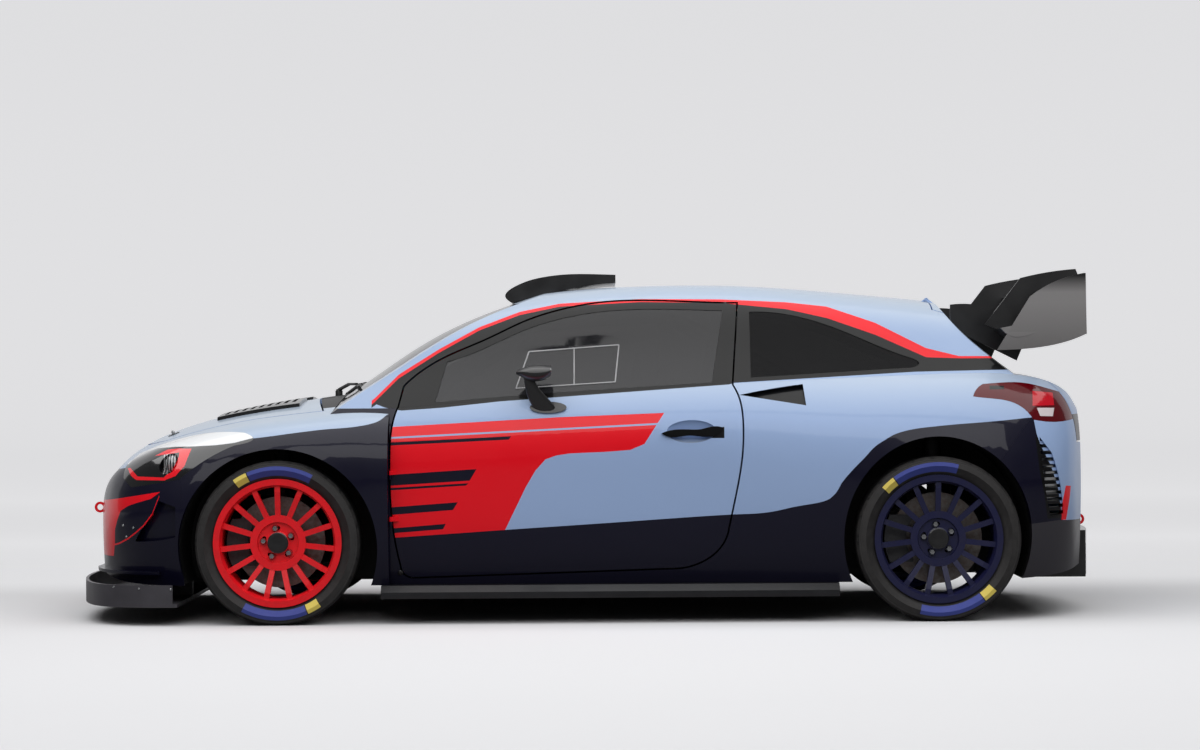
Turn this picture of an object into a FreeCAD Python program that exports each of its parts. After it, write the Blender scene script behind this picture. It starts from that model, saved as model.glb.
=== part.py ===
import FreeCAD, Part
import math
import os

# Three-door rally car, stored standing on its four wheels.
# +X points forwards, +Y to the driver's left and +Z up.
# The origin is on the ground, at the middle of the overall length and width.
# All lengths are millimetres. Names that end in share or shares hold shares of a named size.

Vector = FreeCAD.Vector

# Overall sizes
length = 4100.0
width = 1875.0
roof_height = 1332.0
wheelbase = 2570.0
front_overhang = 850.0
track = 1640.0
tyre_radius = 320.0
tyre_width = 205.0

half_length = length / 2
half_width = width / 2
front_axle_x = half_length - front_overhang
rear_axle_x = front_axle_x - wheelbase
wheel_y = track / 2

# Clearances and overruns
seat_gap = 0.3
moving_gap = 6.0
bonnet_gap = 8.0
door_gap = 7.0
overrun = 20.0

# Wall thicknesses
side_wall = 62.0
roof_wall = 34.0
pillar_wall = 46.0
panel_wall = 26.0
bumper_wall = 40.0
glass_thickness = 6.0
glass_inset = 3.0

# Wheel arches
front_arch_radius = 388.0
front_arch_drop = 22.0
rear_arch_half_length = 367.0
rear_arch_height = 395.0
rear_arch_rise = 4.0

# Underbody
floor_height = 150.0
floor_thickness = 24.0

# Body structure
fender_wall = 40.0
wheelhouse_thickness = 14.0
wheelhouse_inner_y = 460.0
wheelhouse_wall = 8.0
tunnel_half_width = 130.0
tunnel_height = 150.0
tunnel_thickness = 6.0
bulkhead_x = 800.0
rail_y = 400.0
rail_width = 56.0
rail_height = 90.0
rail_bottom = 400.0
bonnet_front_gap = 12.0

# Wheels
rim_radius = 250.0
barrel_radius = 226.0
barrel_thickness = 9.0
rim_half_width = 88.0
hub_disc_radius = 108.0
cap_radius = 44.0
spoke_count = 15
spoke_width = 21.0
bolt_count = 5
bolt_circle = 114.3
bolt_hole = 16.0
hub_face_offset = 28.0
tyre_wall = 12.0
disc_radius = 178.0
caliper_cheek = 16.0
disc_thickness = 32.0
disc_offset = -36.0
hub_radius = 70.0
spindle_radius = 24.0
bell_wall = 12.0
pin_gap = 0.5

# Suspension
steer_low_y = 748.0
steer_low_z = 205.0
steer_high_y = 625.0
steer_high_z = 672.0
knuckle_radius = 62.0
knuckle_length = 42.0
knuckle_offset = -100.0
strut_radius = 24.0
spring_radius = 38.0
arm_thickness = 24.0
arm_half_span = 170.0

# Tubes of the roll cage
cage_radius = 20.0

# Panel edges
TAILGATE_HINGE_SHARE = -0.676
TAILGATE_BOTTOM_SHARE = 0.520
FENDER_REAR_SHARE = 0.3755
DOOR_FRONT_SHARE = 0.3735
DOOR_SILL_TOP_SHARE = 0.530
LAMP_INNER_SHARE = 0.490
COWL_SIDE_SHARE = 0.680
COWL_FRONT_SHARE = 0.545
grille_bar = 8.0
grille_pitch = 30.0

# Floor and crash structure
rear_floor_height = 360.0
floor_step_x = -940.0
rear_floor_x = -1880.0
guard_thickness = 10.0
guard_half_width = 450.0
guard_front_x = 1700.0
beam_half_width = 550.0
arm_window_half = 190.0
jack_pad_y = 550.0
jack_pad_half = 40.0
jack_pad_drop = 12.0
arm_window_top = 520.0

# Engine and drivetrain
engine_rear_x = 1090.0
engine_front_x = 1560.0
engine_top = 690.0
crossmember_length = 140.0
crossmember_height = 56.0
gearbox_length = 120.0
gearbox_half_width = 110.0
shaft_radius = 14.0
joint_radius = 32.0
propshaft_radius = 30.0
propshaft_z = 240.0
differential_half = 90.0

# Splitter, skirts and diffuser
splitter_bottom = 72.0
splitter_top = 159.0
splitter_thickness = 14.0
splitter_wall = 12.0
skirt_bottom = 100.0
skirt_inner_y = 770.0
skirt_outer_y = 900.0
skirt_front_x = 800.0
skirt_rear_x = -985.0
diffuser_bottom = 142.0
diffuser_top = 329.0
diffuser_fin = 10.0
diffuser_channels = 5

# Tow eyes
tow_eye_y = 400.0
tow_eye_radius = 22.0
tow_eye_hole = 12.0
tow_eye_thickness = 8.0
tow_eye_front_tip = 1985.0
tow_eye_rear_tip = -2008.0

# Roof scoop, rear wing and mirrors
scoop_half_width = 300.0
scoop_wall = 12.0
wing_inner_y = 600.0
wing_outer_y = 709.0
flap_outer_y = 724.0
wing_plate = 12.0
mount_y = 455.0
mirror_foot_thickness = 8.0
vent_height = 14.0
vent_rim = 25.0
vent_slot = 16.0
vent_pitch = 34.0

# Recesses in the panels, the door handle and the lamp's projector
panel_recess = 26.0
handle_bar = 20.0
handle_dish_depth = 28.0
bumper_slot = 14.0
bumper_slot_pitch = 26.0
bumper_vent_recess = 10.0
ledge_thickness = 12.0
ledge_reach = 24.0
projector_radius = 33.0
projector_pocket_radius = 40.0
projector_pocket_depth = 28.0

# Cabin
seat_y = 378.0
seat_half_width = 236.0
seat_hollow_half = 192.0
seat_rail_half = 15.0
dash_half_width = 560.0
wheel_ring_radius = 165.0
wheel_grip_radius = 15.0

# Hinges and ball joints
door_hinge_x = 762.0
door_hinge_y = 872.0
door_hinge_levels = (400.0, 580.0)
tailgate_hinge_x = -1389.0
tailgate_hinge_z = 1264.0
tailgate_hinge_y = 255.0
bonnet_hinge_x = 1036.0
bonnet_hinge_z = 866.0
bonnet_hinge_y = 250.0
hinge_pin_radius = 3.5
hinge_knuckle_radius = 7.0
hinge_half_length = 18.0
ball_radius = 14.0
ball_neck_radius = 8.0

# How much the inner side of the door's rear upper edge is bevelled
bevel_skin = 12.0
bevel_at_belt = 5.0
bevel_at_roof = 11.0


# Each station of the lower body, from the door's front edge to the tail:
# x share, bottom z, sill y, then (y, z) at lower side, widest point, shoulder and belt, then deck z.
LOWER_STATION_SHARES = [
    (0.439, 0.113, 0.843, (0.894, 0.225), (0.907, 0.390), (0.898, 0.541), (0.853, 0.617), 0.631),
    (0.374, 0.113, 0.848, (0.898, 0.225), (0.915, 0.390), (0.907, 0.552), (0.857, 0.629), 0.643),
    (0.234, 0.113, 0.851, (0.901, 0.225), (0.921, 0.398), (0.912, 0.563), (0.857, 0.643), 0.656),
    (0.098, 0.113, 0.853, (0.905, 0.225), (0.924, 0.405), (0.915, 0.574), (0.853, 0.659), 0.673),
    (-0.049, 0.113, 0.853, (0.906, 0.229), (0.926, 0.409), (0.918, 0.584), (0.849, 0.674), 0.688),
    (-0.195, 0.113, 0.855, (0.909, 0.233), (0.931, 0.413), (0.924, 0.593), (0.843, 0.689), 0.703),
    (-0.341, 0.113, 0.864, (0.922, 0.240), (0.949, 0.417), (0.930, 0.601), (0.834, 0.701), 0.715),
    (-0.488, 0.113, 0.885, (0.951, 0.248), (0.979, 0.420), (0.943, 0.607), (0.820, 0.710), 0.724),
    (-0.634, 0.113, 0.901, (0.973, 0.252), (0.996, 0.424), (0.949, 0.612), (0.802, 0.718), 0.732),
    (-0.741, 0.116, 0.896, (0.971, 0.255), (0.994, 0.424), (0.939, 0.612), (0.777, 0.722), 0.734),
    (-0.829, 0.120, 0.869, (0.939, 0.259), (0.962, 0.424), (0.901, 0.607), (0.741, 0.717), 0.727),
    (-0.893, 0.128, 0.805, (0.869, 0.263), (0.894, 0.424), (0.834, 0.593), (0.683, 0.698), 0.709),
    (-0.937, 0.139, 0.683, (0.747, 0.270), (0.770, 0.420), (0.725, 0.574), (0.597, 0.661), 0.676),
    (-0.960, 0.150, 0.555, (0.608, 0.278), (0.629, 0.417), (0.597, 0.548), (0.512, 0.616), 0.634),
]

# Each station of the front end, from the trailing edge of the front wing to the nose, in the same order.
FRONT_STATION_SHARES = [
    (0.341, 0.113, 0.907, (0.965, 0.225), (0.988, 0.375), (0.973, 0.518), (0.843, 0.614), 0.653),
    (0.405, 0.113, 0.907, (0.969, 0.225), (0.992, 0.375), (0.976, 0.518), (0.837, 0.617), 0.664),
    (0.468, 0.113, 0.907, (0.973, 0.225), (0.996, 0.383), (0.979, 0.522), (0.828, 0.616), 0.670),
    (0.537, 0.113, 0.907, (0.975, 0.225), (0.999, 0.387), (0.981, 0.522), (0.817, 0.607), 0.658),
    (0.610, 0.113, 0.907, (0.975, 0.225), (0.999, 0.387), (0.979, 0.514), (0.803, 0.595), 0.640),
    (0.683, 0.113, 0.901, (0.971, 0.225), (0.994, 0.383), (0.965, 0.499), (0.784, 0.577), 0.619),
    (0.756, 0.114, 0.891, (0.956, 0.225), (0.975, 0.379), (0.937, 0.480), (0.753, 0.551), 0.593),
    (0.820, 0.116, 0.859, (0.919, 0.225), (0.937, 0.372), (0.894, 0.458), (0.713, 0.521), 0.562),
    (0.868, 0.120, 0.800, (0.853, 0.225), (0.869, 0.360), (0.829, 0.435), (0.659, 0.489), 0.529),
    (0.907, 0.128, 0.699, (0.747, 0.225), (0.764, 0.345), (0.730, 0.409), (0.587, 0.453), 0.488),
    (0.934, 0.139, 0.571, (0.608, 0.225), (0.624, 0.323), (0.599, 0.379), (0.499, 0.411), 0.441),
    (0.949, 0.154, 0.427, (0.459, 0.225), (0.471, 0.300), (0.457, 0.349), (0.400, 0.375), 0.398),
]

# Each station of the cabin's arch: x share, then (y, z) at base, belt, mid glass, drip rail and roof rail, then crown z.
CABIN_STATION_SHARES = [
    (0.561, (0.827, 0.586), (0.784, 0.646), (0.736, 0.698), (0.667, 0.751), (0.587, 0.773), 0.788),
    (0.439, (0.853, 0.586), (0.805, 0.646), (0.747, 0.713), (0.683, 0.788), (0.613, 0.815), 0.833),
    (0.293, (0.877, 0.586), (0.830, 0.653), (0.752, 0.751), (0.677, 0.841), (0.608, 0.871), 0.897),
    (0.146, (0.891, 0.586), (0.845, 0.657), (0.763, 0.773), (0.674, 0.893), (0.603, 0.929), 0.962),
    (0.000, (0.898, 0.586), (0.850, 0.664), (0.755, 0.796), (0.663, 0.925), (0.597, 0.958), 0.992),
    (-0.146, (0.901, 0.586), (0.848, 0.676), (0.752, 0.805), (0.656, 0.935), (0.592, 0.968), 1.000),
    (-0.293, (0.898, 0.586), (0.837, 0.679), (0.745, 0.805), (0.649, 0.932), (0.585, 0.965), 0.999),
    (-0.439, (0.885, 0.586), (0.816, 0.687), (0.734, 0.800), (0.640, 0.917), (0.571, 0.950), 0.985),
    (-0.585, (0.864, 0.586), (0.789, 0.694), (0.717, 0.788), (0.627, 0.895), (0.555, 0.928), 0.964),
    (-0.732, (0.832, 0.586), (0.757, 0.698), (0.693, 0.773), (0.608, 0.869), (0.533, 0.901), 0.938),
    (-0.902, (0.779, 0.586), (0.709, 0.691), (0.656, 0.751), (0.581, 0.833), (0.501, 0.863), 0.901),
]

# Glass houses: z share, windscreen x share, its bow, rear glass x share, its bow.
# A bow is how far the glass falls back at half the car's width, as a share of the half length.
GLASS_LEVEL_SHARES = [
    (0.571, 0.566, 0.062, -0.928, 0.052),
    (0.679, 0.469, 0.068, -0.883, 0.056),
    (0.751, 0.401, 0.084, -0.828, 0.060),
    (0.828, 0.324, 0.094, -0.765, 0.060),
    (0.886, 0.250, 0.092, -0.727, 0.058),
    (0.935, 0.168, 0.086, -0.698, 0.056),
    (0.976, 0.085, 0.080, -0.672, 0.054),
    (1.015, 0.000, 0.076, -0.649, 0.052),
]

# The lug of one hinge half, from the pin into the fixed panel, as shares of the knuckle's radius.
# The moving half's lug is its mirror image.
HINGE_LUG_SHARES = [(0.0, 1.0), (1.0, 0.2), (3.6, -1.8), (3.6, -4.6), (1.0, -4.6), (0.7, -1.9), (-0.2, -1.0)]
DOOR_LUG_SHARES = [(0.0, 0.9), (-1.0, 0.2), (-4.6, -2.0), (-4.6, -5.2), (-2.0, -5.2), (-1.3, -2.3), (0.1, -1.0)]
BONNET_ARM_SHARES = [(0.0, 0.85), (8.6, 0.3), (8.6, -2.3), (0.0, -0.85)]

# The door's edge, in the same view as the outlines below: (x, z)
DOOR_SHARES = [
    [(0.347, 0.694), (0.357, 0.632)],
    [(0.357, 0.632), (0.368, 0.568), (0.371, 0.498), (0.371, 0.392), (0.363, 0.248), (0.353, 0.172)],
    [(0.353, 0.172), (0.346, 0.145), (0.331, 0.135)],
    [(0.331, 0.135), (-0.163, 0.158)],
    [(-0.163, 0.158), (-0.222, 0.179), (-0.255, 0.221), (-0.270, 0.277)],
    [(-0.270, 0.277), (-0.285, 0.385), (-0.296, 0.491), (-0.298, 0.576), (-0.293, 0.646), (-0.280, 0.693)],
    [(-0.280, 0.693), (-0.293, 0.935)],
    [
        (-0.293, 0.935), (-0.119, 0.944), (-0.024, 0.938), (0.041, 0.920),
        (0.116, 0.884), (0.191, 0.830), (0.260, 0.785), (0.347, 0.694),
    ],
]

# The window in the door, inside its frame
DOOR_WINDOW_SHARES = [
    [(0.288, 0.647), (0.266, 0.767)],
    [
        (0.266, 0.767), (0.191, 0.808), (0.116, 0.860), (0.041, 0.895),
        (-0.024, 0.912), (-0.119, 0.920), (-0.266, 0.914),
    ],
    [(-0.266, 0.914), (-0.242, 0.700)],
    [(-0.242, 0.700), (0.000, 0.679), (0.288, 0.647)],
]

# The fixed window behind the door
QUARTER_WINDOW_SHARES = [
    [(-0.317, 0.910), (-0.409, 0.896), (-0.498, 0.851), (-0.574, 0.800), (-0.629, 0.769)],
    [(-0.629, 0.769), (-0.643, 0.753), (-0.629, 0.741)],
    [(-0.629, 0.741), (-0.317, 0.714)],
    [(-0.317, 0.714), (-0.317, 0.910)],
]

# The line in plan that parts the body side from windscreen, roof and tailgate, from cowl to tail
SIDE_LINE_SHARES = [
    [
        (0.576, 0.773), (0.512, 0.747), (0.439, 0.709), (0.354, 0.677), (0.260, 0.640),
        (0.131, 0.587), (0.029, 0.555), (-0.293, 0.533), (-0.617, 0.496),
    ],
    [
        (-0.617, 0.496), (-0.668, 0.531), (-0.732, 0.581), (-0.791, 0.624),
        (-0.855, 0.667), (-0.901, 0.688), (-0.976, 0.693),
    ],
]

# The roof's front edge in plan, from the left pillar to the middle
HEADER_LINE_SHARES = [(0.128, 0.597), (0.143, 0.299), (0.148, 0.000)]

# The bonnet in plan: side edge, front edge and rear edge
BONNET_SIDE_SHARES = [(0.507, 0.736), (0.580, 0.717), (0.732, 0.663), (0.810, 0.613)]
BONNET_FRONT_SHARES = [(0.810, 0.613), (0.846, 0.480), (0.866, 0.267), (0.872, 0.000)]
BONNET_REAR_SHARES = [(0.507, 0.736), (0.524, 0.427), (0.533, 0.000)]

HEADLAMP_SHARES = [
    [(0.888, 0.429), (0.888, 0.450), (0.879, 0.482), (0.856, 0.506)],
    [(0.856, 0.506), (0.820, 0.527), (0.756, 0.5535), (0.650, 0.563)],
    [(0.650, 0.563), (0.631, 0.548), (0.666, 0.526)],
    [(0.666, 0.526), (0.720, 0.485), (0.771, 0.428)],
    [(0.771, 0.428), (0.823, 0.414), (0.869, 0.403)],
    [(0.869, 0.403), (0.888, 0.429)],
]

TAIL_LAMP_SHARES = [
    [(-0.738, 0.655), (-0.746, 0.676), (-0.760, 0.691)],
    [(-0.760, 0.691), (-0.800, 0.695), (-0.839, 0.694), (-0.884, 0.679), (-0.960, 0.655)],
    [(-0.960, 0.655), (-0.960, 0.593)],
    [(-0.960, 0.593), (-0.876, 0.580), (-0.853, 0.586)],
    [(-0.853, 0.586), (-0.789, 0.646), (-0.751, 0.652), (-0.738, 0.655)],
]

FRONT_BUMPER_SHARES = [
    [(0.766, 0.045), (0.767, 0.434)],
    [(0.767, 0.434), (0.824, 0.450), (0.868, 0.499)],
    [(0.868, 0.499), (0.868, 0.571)],
    [(0.868, 0.571), (1.000, 0.571)],
    [(1.000, 0.571), (1.000, 0.045)],
    [(1.000, 0.045), (0.766, 0.045)],
]

REAR_BUMPER_SHARES = [
    [(-0.776, 0.045), (-0.780, 0.459)],
    [(-0.780, 0.459), (-0.791, 0.480), (-0.844, 0.585)],
    [(-0.844, 0.585), (-1.024, 0.585)],
    [(-1.024, 0.585), (-1.024, 0.045)],
    [(-1.024, 0.045), (-0.776, 0.045)],
]

SPLITTER_SHARES = [
    (0.776, 0.965), (0.829, 0.960), (0.878, 0.928), (0.922, 0.853),
    (0.956, 0.715), (0.980, 0.512), (0.995, 0.267), (1.000, 0.000),
]

REAR_WINDOW_SHARES = [
    [(0.000, 0.935), (0.411, 0.925)],
    [(0.411, 0.925), (0.427, 0.917), (0.432, 0.905)],
    [(0.432, 0.905), (0.533, 0.773)],
    [(0.533, 0.773), (0.530, 0.751), (0.491, 0.739)],
    [(0.491, 0.739), (0.000, 0.732)],
]

WING_INNER_PLATE_SHARES = [
    [(-0.775, 0.869), (-0.844, 1.006)],
    [(-0.844, 1.006), (-0.898, 1.023), (-0.951, 1.032)],
    [(-0.951, 1.032), (-0.963, 0.976), (-0.968, 0.893)],
    [(-0.968, 0.893), (-0.829, 0.841), (-0.775, 0.869)],
]

WING_OUTER_PLATE_SHARES = [
    [(-0.793, 0.791), (-0.855, 0.948)],
    [(-0.855, 0.948), (-0.907, 0.995), (-0.961, 1.017)],
    [(-0.961, 1.017), (-0.965, 0.838)],
    [(-0.965, 0.838), (-0.912, 0.809), (-0.854, 0.795), (-0.793, 0.791)],
]

# The outer plate's outer side from behind, as (y, z)
WING_FLARE_SHARES = [(0.750, 0.700), (0.752, 0.800), (0.760, 0.870), (0.777, 0.950), (0.800, 1.060)]

# Bonnet vent in plan, as (x, y)
BONNET_VENT_SHARES = [
    [(0.725, 0.160), (0.725, 0.440)],
    [(0.725, 0.440), (0.560, 0.520)],
    [(0.560, 0.520), (0.560, 0.160)],
    [(0.560, 0.160), (0.725, 0.160)],
]

# The hollow behind the front bumper's corner blade, and where the ledge over the splitter lies
BUMPER_SCOOP_SHARES = [
    [(0.811, 0.366), (0.778, 0.348)],
    [(0.778, 0.348), (0.779, 0.259)],
    [(0.779, 0.259), (0.808, 0.250), (0.860, 0.245)],
    [(0.860, 0.245), (0.840, 0.293), (0.823, 0.327), (0.811, 0.366)],
]
LEDGE_SHARES = (0.812, 0.148)

# The louvred vent at the rear bumper's corner
REAR_VENT_SHARES = [
    [(-0.863, 0.536), (-0.869, 0.427), (-0.884, 0.303)],
    [(-0.884, 0.303), (-0.912, 0.308)],
    [(-0.912, 0.308), (-0.900, 0.426), (-0.887, 0.489)],
    [(-0.887, 0.489), (-0.863, 0.536)],
]

# The air intake behind the door
QUARTER_INTAKE_SHARES = [
    [(-0.295, 0.664), (-0.370, 0.685), (-0.415, 0.694)],
    [(-0.415, 0.694), (-0.419, 0.633)],
    [(-0.419, 0.633), (-0.370, 0.645), (-0.295, 0.664)],
]

# Door handle: its outline, the middle of its dish as (x, y, z), and the dish's half sizes along and up
HANDLE_SHARES = [
    [(-0.144, 0.553), (-0.161, 0.562), (-0.198, 0.564), (-0.220, 0.565), (-0.236, 0.571), (-0.262, 0.568)],
    [(-0.262, 0.568), (-0.252, 0.550), (-0.237, 0.542), (-0.197, 0.546), (-0.160, 0.542), (-0.144, 0.553)],
]
HANDLE_PLACE_SHARES = (-0.201, 0.932, 0.558)
HANDLE_DISH_SHARES = (0.047, 0.034)

# Mirror foot as (x, z, half length, half height), then stalk and head sections as (height or x, middle, half sizes)
MIRROR_FOOT_SHARES = (0.071, 0.631, 0.035, 0.0165)
MIRROR_STALK_SHARES = [
    (0.621, 0.074, 0.889, 0.0200, 0.0145), (0.662, 0.092, 0.905, 0.018, 0.015),
    (0.688, 0.101, 0.915, 0.013, 0.014), (0.718, 0.107, 0.920, 0.010, 0.013),
]
MIRROR_HEAD_SHARES = [
    (0.065, 0.922, 0.739, 0.064, 0.0135), (0.078, 0.922, 0.733, 0.068, 0.0215), (0.098, 0.922, 0.731, 0.066, 0.0235),
    (0.117, 0.922, 0.732, 0.050, 0.0155), (0.131, 0.922, 0.733, 0.012, 0.004),
]

# The projector in the front lamp, and the way it looks
PROJECTOR_SHARES = (0.793, 0.907, 0.473)
PROJECTOR_FACING = (0.451, 0.893, 0.0)

SCOOP_SHARES = [
    [(0.146, 0.947), (0.159, 0.968), (0.132, 1.002), (0.088, 1.023), (0.040, 1.032), (-0.060, 1.030)],
    [(-0.060, 1.030), (-0.060, 1.005)],
    [(-0.060, 1.005), (0.029, 0.988), (0.098, 0.964), (0.146, 0.947)],
]

# Bottom and top of the scoop's mouth
SCOOP_MOUTH_SHARES = (0.972, 0.992)

GRILLE_SHARES = [
    [(0.000, 0.180), (0.330, 0.180)],
    [(0.330, 0.180), (0.400, 0.260), (0.360, 0.340)],
    [(0.360, 0.340), (0.000, 0.350)],
]

DIFFUSER_SHARES = [
    [(-0.860, 0.480), (-0.978, 0.480)],
    [(-0.978, 0.480), (-0.994, 0.250), (-1.000, 0.000)],
]

WING_PLANE_SHARES = [
    [(-0.800, 0.856), (-0.860, 0.874), (-0.960, 0.908)],
    [(-0.960, 0.908), (-0.962, 0.899)],
    [(-0.962, 0.899), (-0.870, 0.845), (-0.815, 0.835), (-0.800, 0.856)],
]
WING_FLAP_SHARES = [
    [(-0.880, 0.966), (-0.920, 0.990), (-0.960, 1.018)],
    [(-0.960, 1.018), (-0.962, 1.008)],
    [(-0.962, 1.008), (-0.930, 0.970), (-0.890, 0.952), (-0.880, 0.966)],
]
WING_MOUNT_SHARES = [
    [(-0.715, 0.930), (-0.780, 0.925), (-0.850, 0.870)],
    [(-0.850, 0.870), (-0.870, 0.850)],
    [(-0.870, 0.850), (-0.845, 0.760)],
    [(-0.845, 0.760), (-0.715, 0.860)],
    [(-0.715, 0.860), (-0.715, 0.930)],
]

STEERING_HUB_SHARES = (0.200, 0.384, 0.610)
STEERING_COLUMN_END_SHARES = (0.262, 0.384, 0.545)
CAGE_MAIN_SHARES = [(-0.161, 0.720, 0.131), (-0.161, 0.700, 0.676), (-0.161, 0.533, 0.908)]
CAGE_FRONT_SHARES = [(0.322, 0.720, 0.131), (0.312, 0.690, 0.646), (0.112, 0.523, 0.878)]
CAGE_STAY_SHARES = [(-0.161, 0.533, 0.908), (-0.420, 0.470, 0.700), (-0.560, 0.420, 0.2885)]
SEAT_SIDE_SHARES = [
    [(0.110, 0.160), (0.118, 0.285)],
    [(0.118, 0.285), (0.040, 0.330), (-0.020, 0.345)],
    [(-0.020, 0.345), (-0.062, 0.480), (-0.085, 0.640), (-0.105, 0.790)],
    [(-0.105, 0.790), (-0.140, 0.790)],
    [(-0.140, 0.790), (-0.125, 0.600), (-0.105, 0.400), (-0.090, 0.160)],
    [(-0.090, 0.160), (0.110, 0.160)],
]
SEAT_HOLLOW_SHARES = [
    [(0.140, 0.235), (0.030, 0.205), (-0.040, 0.215)],
    [(-0.040, 0.215), (-0.085, 0.400), (-0.105, 0.560), (-0.120, 0.840)],
    [(-0.120, 0.840), (0.140, 0.840)],
    [(0.140, 0.840), (0.140, 0.235)],
]
DASH_SHARES = [
    [(0.390, 0.480), (0.390, 0.575)],
    [(0.390, 0.575), (0.330, 0.598), (0.270, 0.585)],
    [(0.270, 0.585), (0.262, 0.530), (0.290, 0.480)],
    [(0.290, 0.480), (0.390, 0.480)],
]


def xyz(x, y, z):
    return Vector(x, y, z)


def spline(points):
    """An edge that runs smoothly through the points, or a line where there are two."""
    if len(points) == 2:
        return Part.makeLine(points[0], points[1])
    curve = Part.BSplineCurve()
    curve.interpolate(points)
    return curve.toShape()


def closed_face(runs):
    """A flat face from runs of points. Each run is a line or a smooth curve, and starts where the last one ended."""
    edges = []
    for run in runs:
        edges.append(spline(run))
    if runs[-1][-1].distanceToPoint(runs[0][0]) > 0:
        edges.append(Part.makeLine(runs[-1][-1], runs[0][0]))
    return Part.Face(Part.Wire(edges))


def side_prism(runs, y_low, y_high):
    """A prism across the car from an outline of (x, z) runs."""
    face = closed_face([[xyz(x, y_low, z) for x, z in run] for run in runs])
    return face.extrude(xyz(0, y_high - y_low, 0))


def plan_prism(runs, z_low, z_high):
    """An upright prism from an outline of (x, y) runs."""
    face = closed_face([[xyz(x, y, z_low) for x, y in run] for run in runs])
    return face.extrude(xyz(0, 0, z_high - z_low))


def end_prism(runs, x_low, x_high):
    """A prism along the car from an outline of (y, z) runs."""
    face = closed_face([[xyz(x_low, y, z) for y, z in run] for run in runs])
    return face.extrude(xyz(x_high - x_low, 0, 0))


def rounded(points, radii):
    """Runs for a closed outline whose corners are arcs of the given radii, one for each corner."""
    count = len(points)
    runs = []
    ends = []
    for i in range(count):
        here = points[i]
        before = points[i - 1]
        after = points[(i + 1) % count]
        back = unit_step(here, before)
        ahead = unit_step(here, after)
        opening = math.acos(back[0] * ahead[0] + back[1] * ahead[1])
        reach = radii[i] / math.tan(opening / 2)
        start = (here[0] + back[0] * reach, here[1] + back[1] * reach)
        end = (here[0] + ahead[0] * reach, here[1] + ahead[1] * reach)
        to_centre = unit_step((0, 0), (back[0] + ahead[0], back[1] + ahead[1]))
        depth = radii[i] / math.sin(opening / 2) - radii[i]
        middle = (here[0] + to_centre[0] * depth, here[1] + to_centre[1] * depth)
        ends.append((start, middle, end))
    for i in range(count):
        start, middle, end = ends[i]
        following = ends[(i + 1) % count][0]
        if radii[i] > 0:
            runs.append([start, middle, end])
        runs.append([end, following])
    return runs


def unit_step(start, end):
    """The unit step from one flat point towards another."""
    dx = end[0] - start[0]
    dy = end[1] - start[1]
    size = math.hypot(dx, dy)
    return (dx / size, dy / size)


def box(x_low, x_high, y_low, y_high, z_low, z_high):
    return Part.makeBox(x_high - x_low, y_high - y_low, z_high - z_low, xyz(x_low, y_low, z_low))


def mirrored(shape):
    """The same shape on the other side of the car."""
    return shape.mirror(xyz(0, 0, 0), xyz(0, 1, 0))


def body_section(station, side_inset, top_inset, end_inset, bottom_inset):
    """One closed cross-section of the lower body or front end."""
    x_share, bottom, sill, lower, widest, shoulder, belt, deck = station
    x = x_share * half_length
    x -= end_inset * x_share
    z_bottom = bottom * roof_height + bottom_inset
    side = [(sill * half_width - side_inset, z_bottom)]
    for y_share, z_share in (lower, widest, shoulder):
        side.append((y_share * half_width - side_inset, z_share * roof_height))
    belt_point = (belt[0] * half_width - side_inset, belt[1] * roof_height - top_inset)
    side.append(belt_point)
    crown = deck * roof_height - top_inset
    crown_side_share = 0.5
    crown_drop_share = 0.2
    middle = (belt_point[0] * crown_side_share, crown - (crown - belt_point[1]) * crown_drop_share)
    left = [xyz(x, y, z) for y, z in side]
    right = [xyz(x, -y, z) for y, z in reversed(side)]
    top = [left[-1], xyz(x, middle[0], middle[1]), xyz(x, 0, crown), xyz(x, -middle[0], middle[1]), right[0]]
    edges = [spline(left), spline(top), spline(right), Part.makeLine(right[-1], left[0])]
    return Part.Wire(edges)


def body_hull(stations, side_inset=0, top_inset=0, end_inset=0, bottom_inset=0):
    """The smooth solid through a list of body stations."""
    wires = []
    for station in stations:
        wires.append(body_section(station, side_inset, top_inset, end_inset, bottom_inset))
    return Part.makeLoft(wires, True, False)


def cabin_section(station, side_inset, roof_inset):
    """One closed arch of the cabin, from below the belt over the roof."""
    x_share, base, belt, glass, drip, rail, crown = station
    x = x_share * half_length
    points = []
    for y_share, z_share in (base, belt, glass, drip):
        points.append((y_share * half_width - side_inset, z_share * roof_height))
    blend_share = 0.8
    points.append((rail[0] * half_width - side_inset * blend_share, rail[1] * roof_height - roof_inset * blend_share))
    z_crown = crown * roof_height - roof_inset
    crown_side_share = 0.5
    crown_drop_share = 0.22
    rail_z = points[-1][1]
    points.append((points[-1][0] * crown_side_share, z_crown - (z_crown - rail_z) * crown_drop_share))
    left = [xyz(x, y, z) for y, z in points]
    right = [xyz(x, -y, z) for y, z in reversed(points)]
    arch = left + [xyz(x, 0, z_crown)] + right
    return Part.Wire([spline(arch), Part.makeLine(arch[-1], arch[0])])


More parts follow.
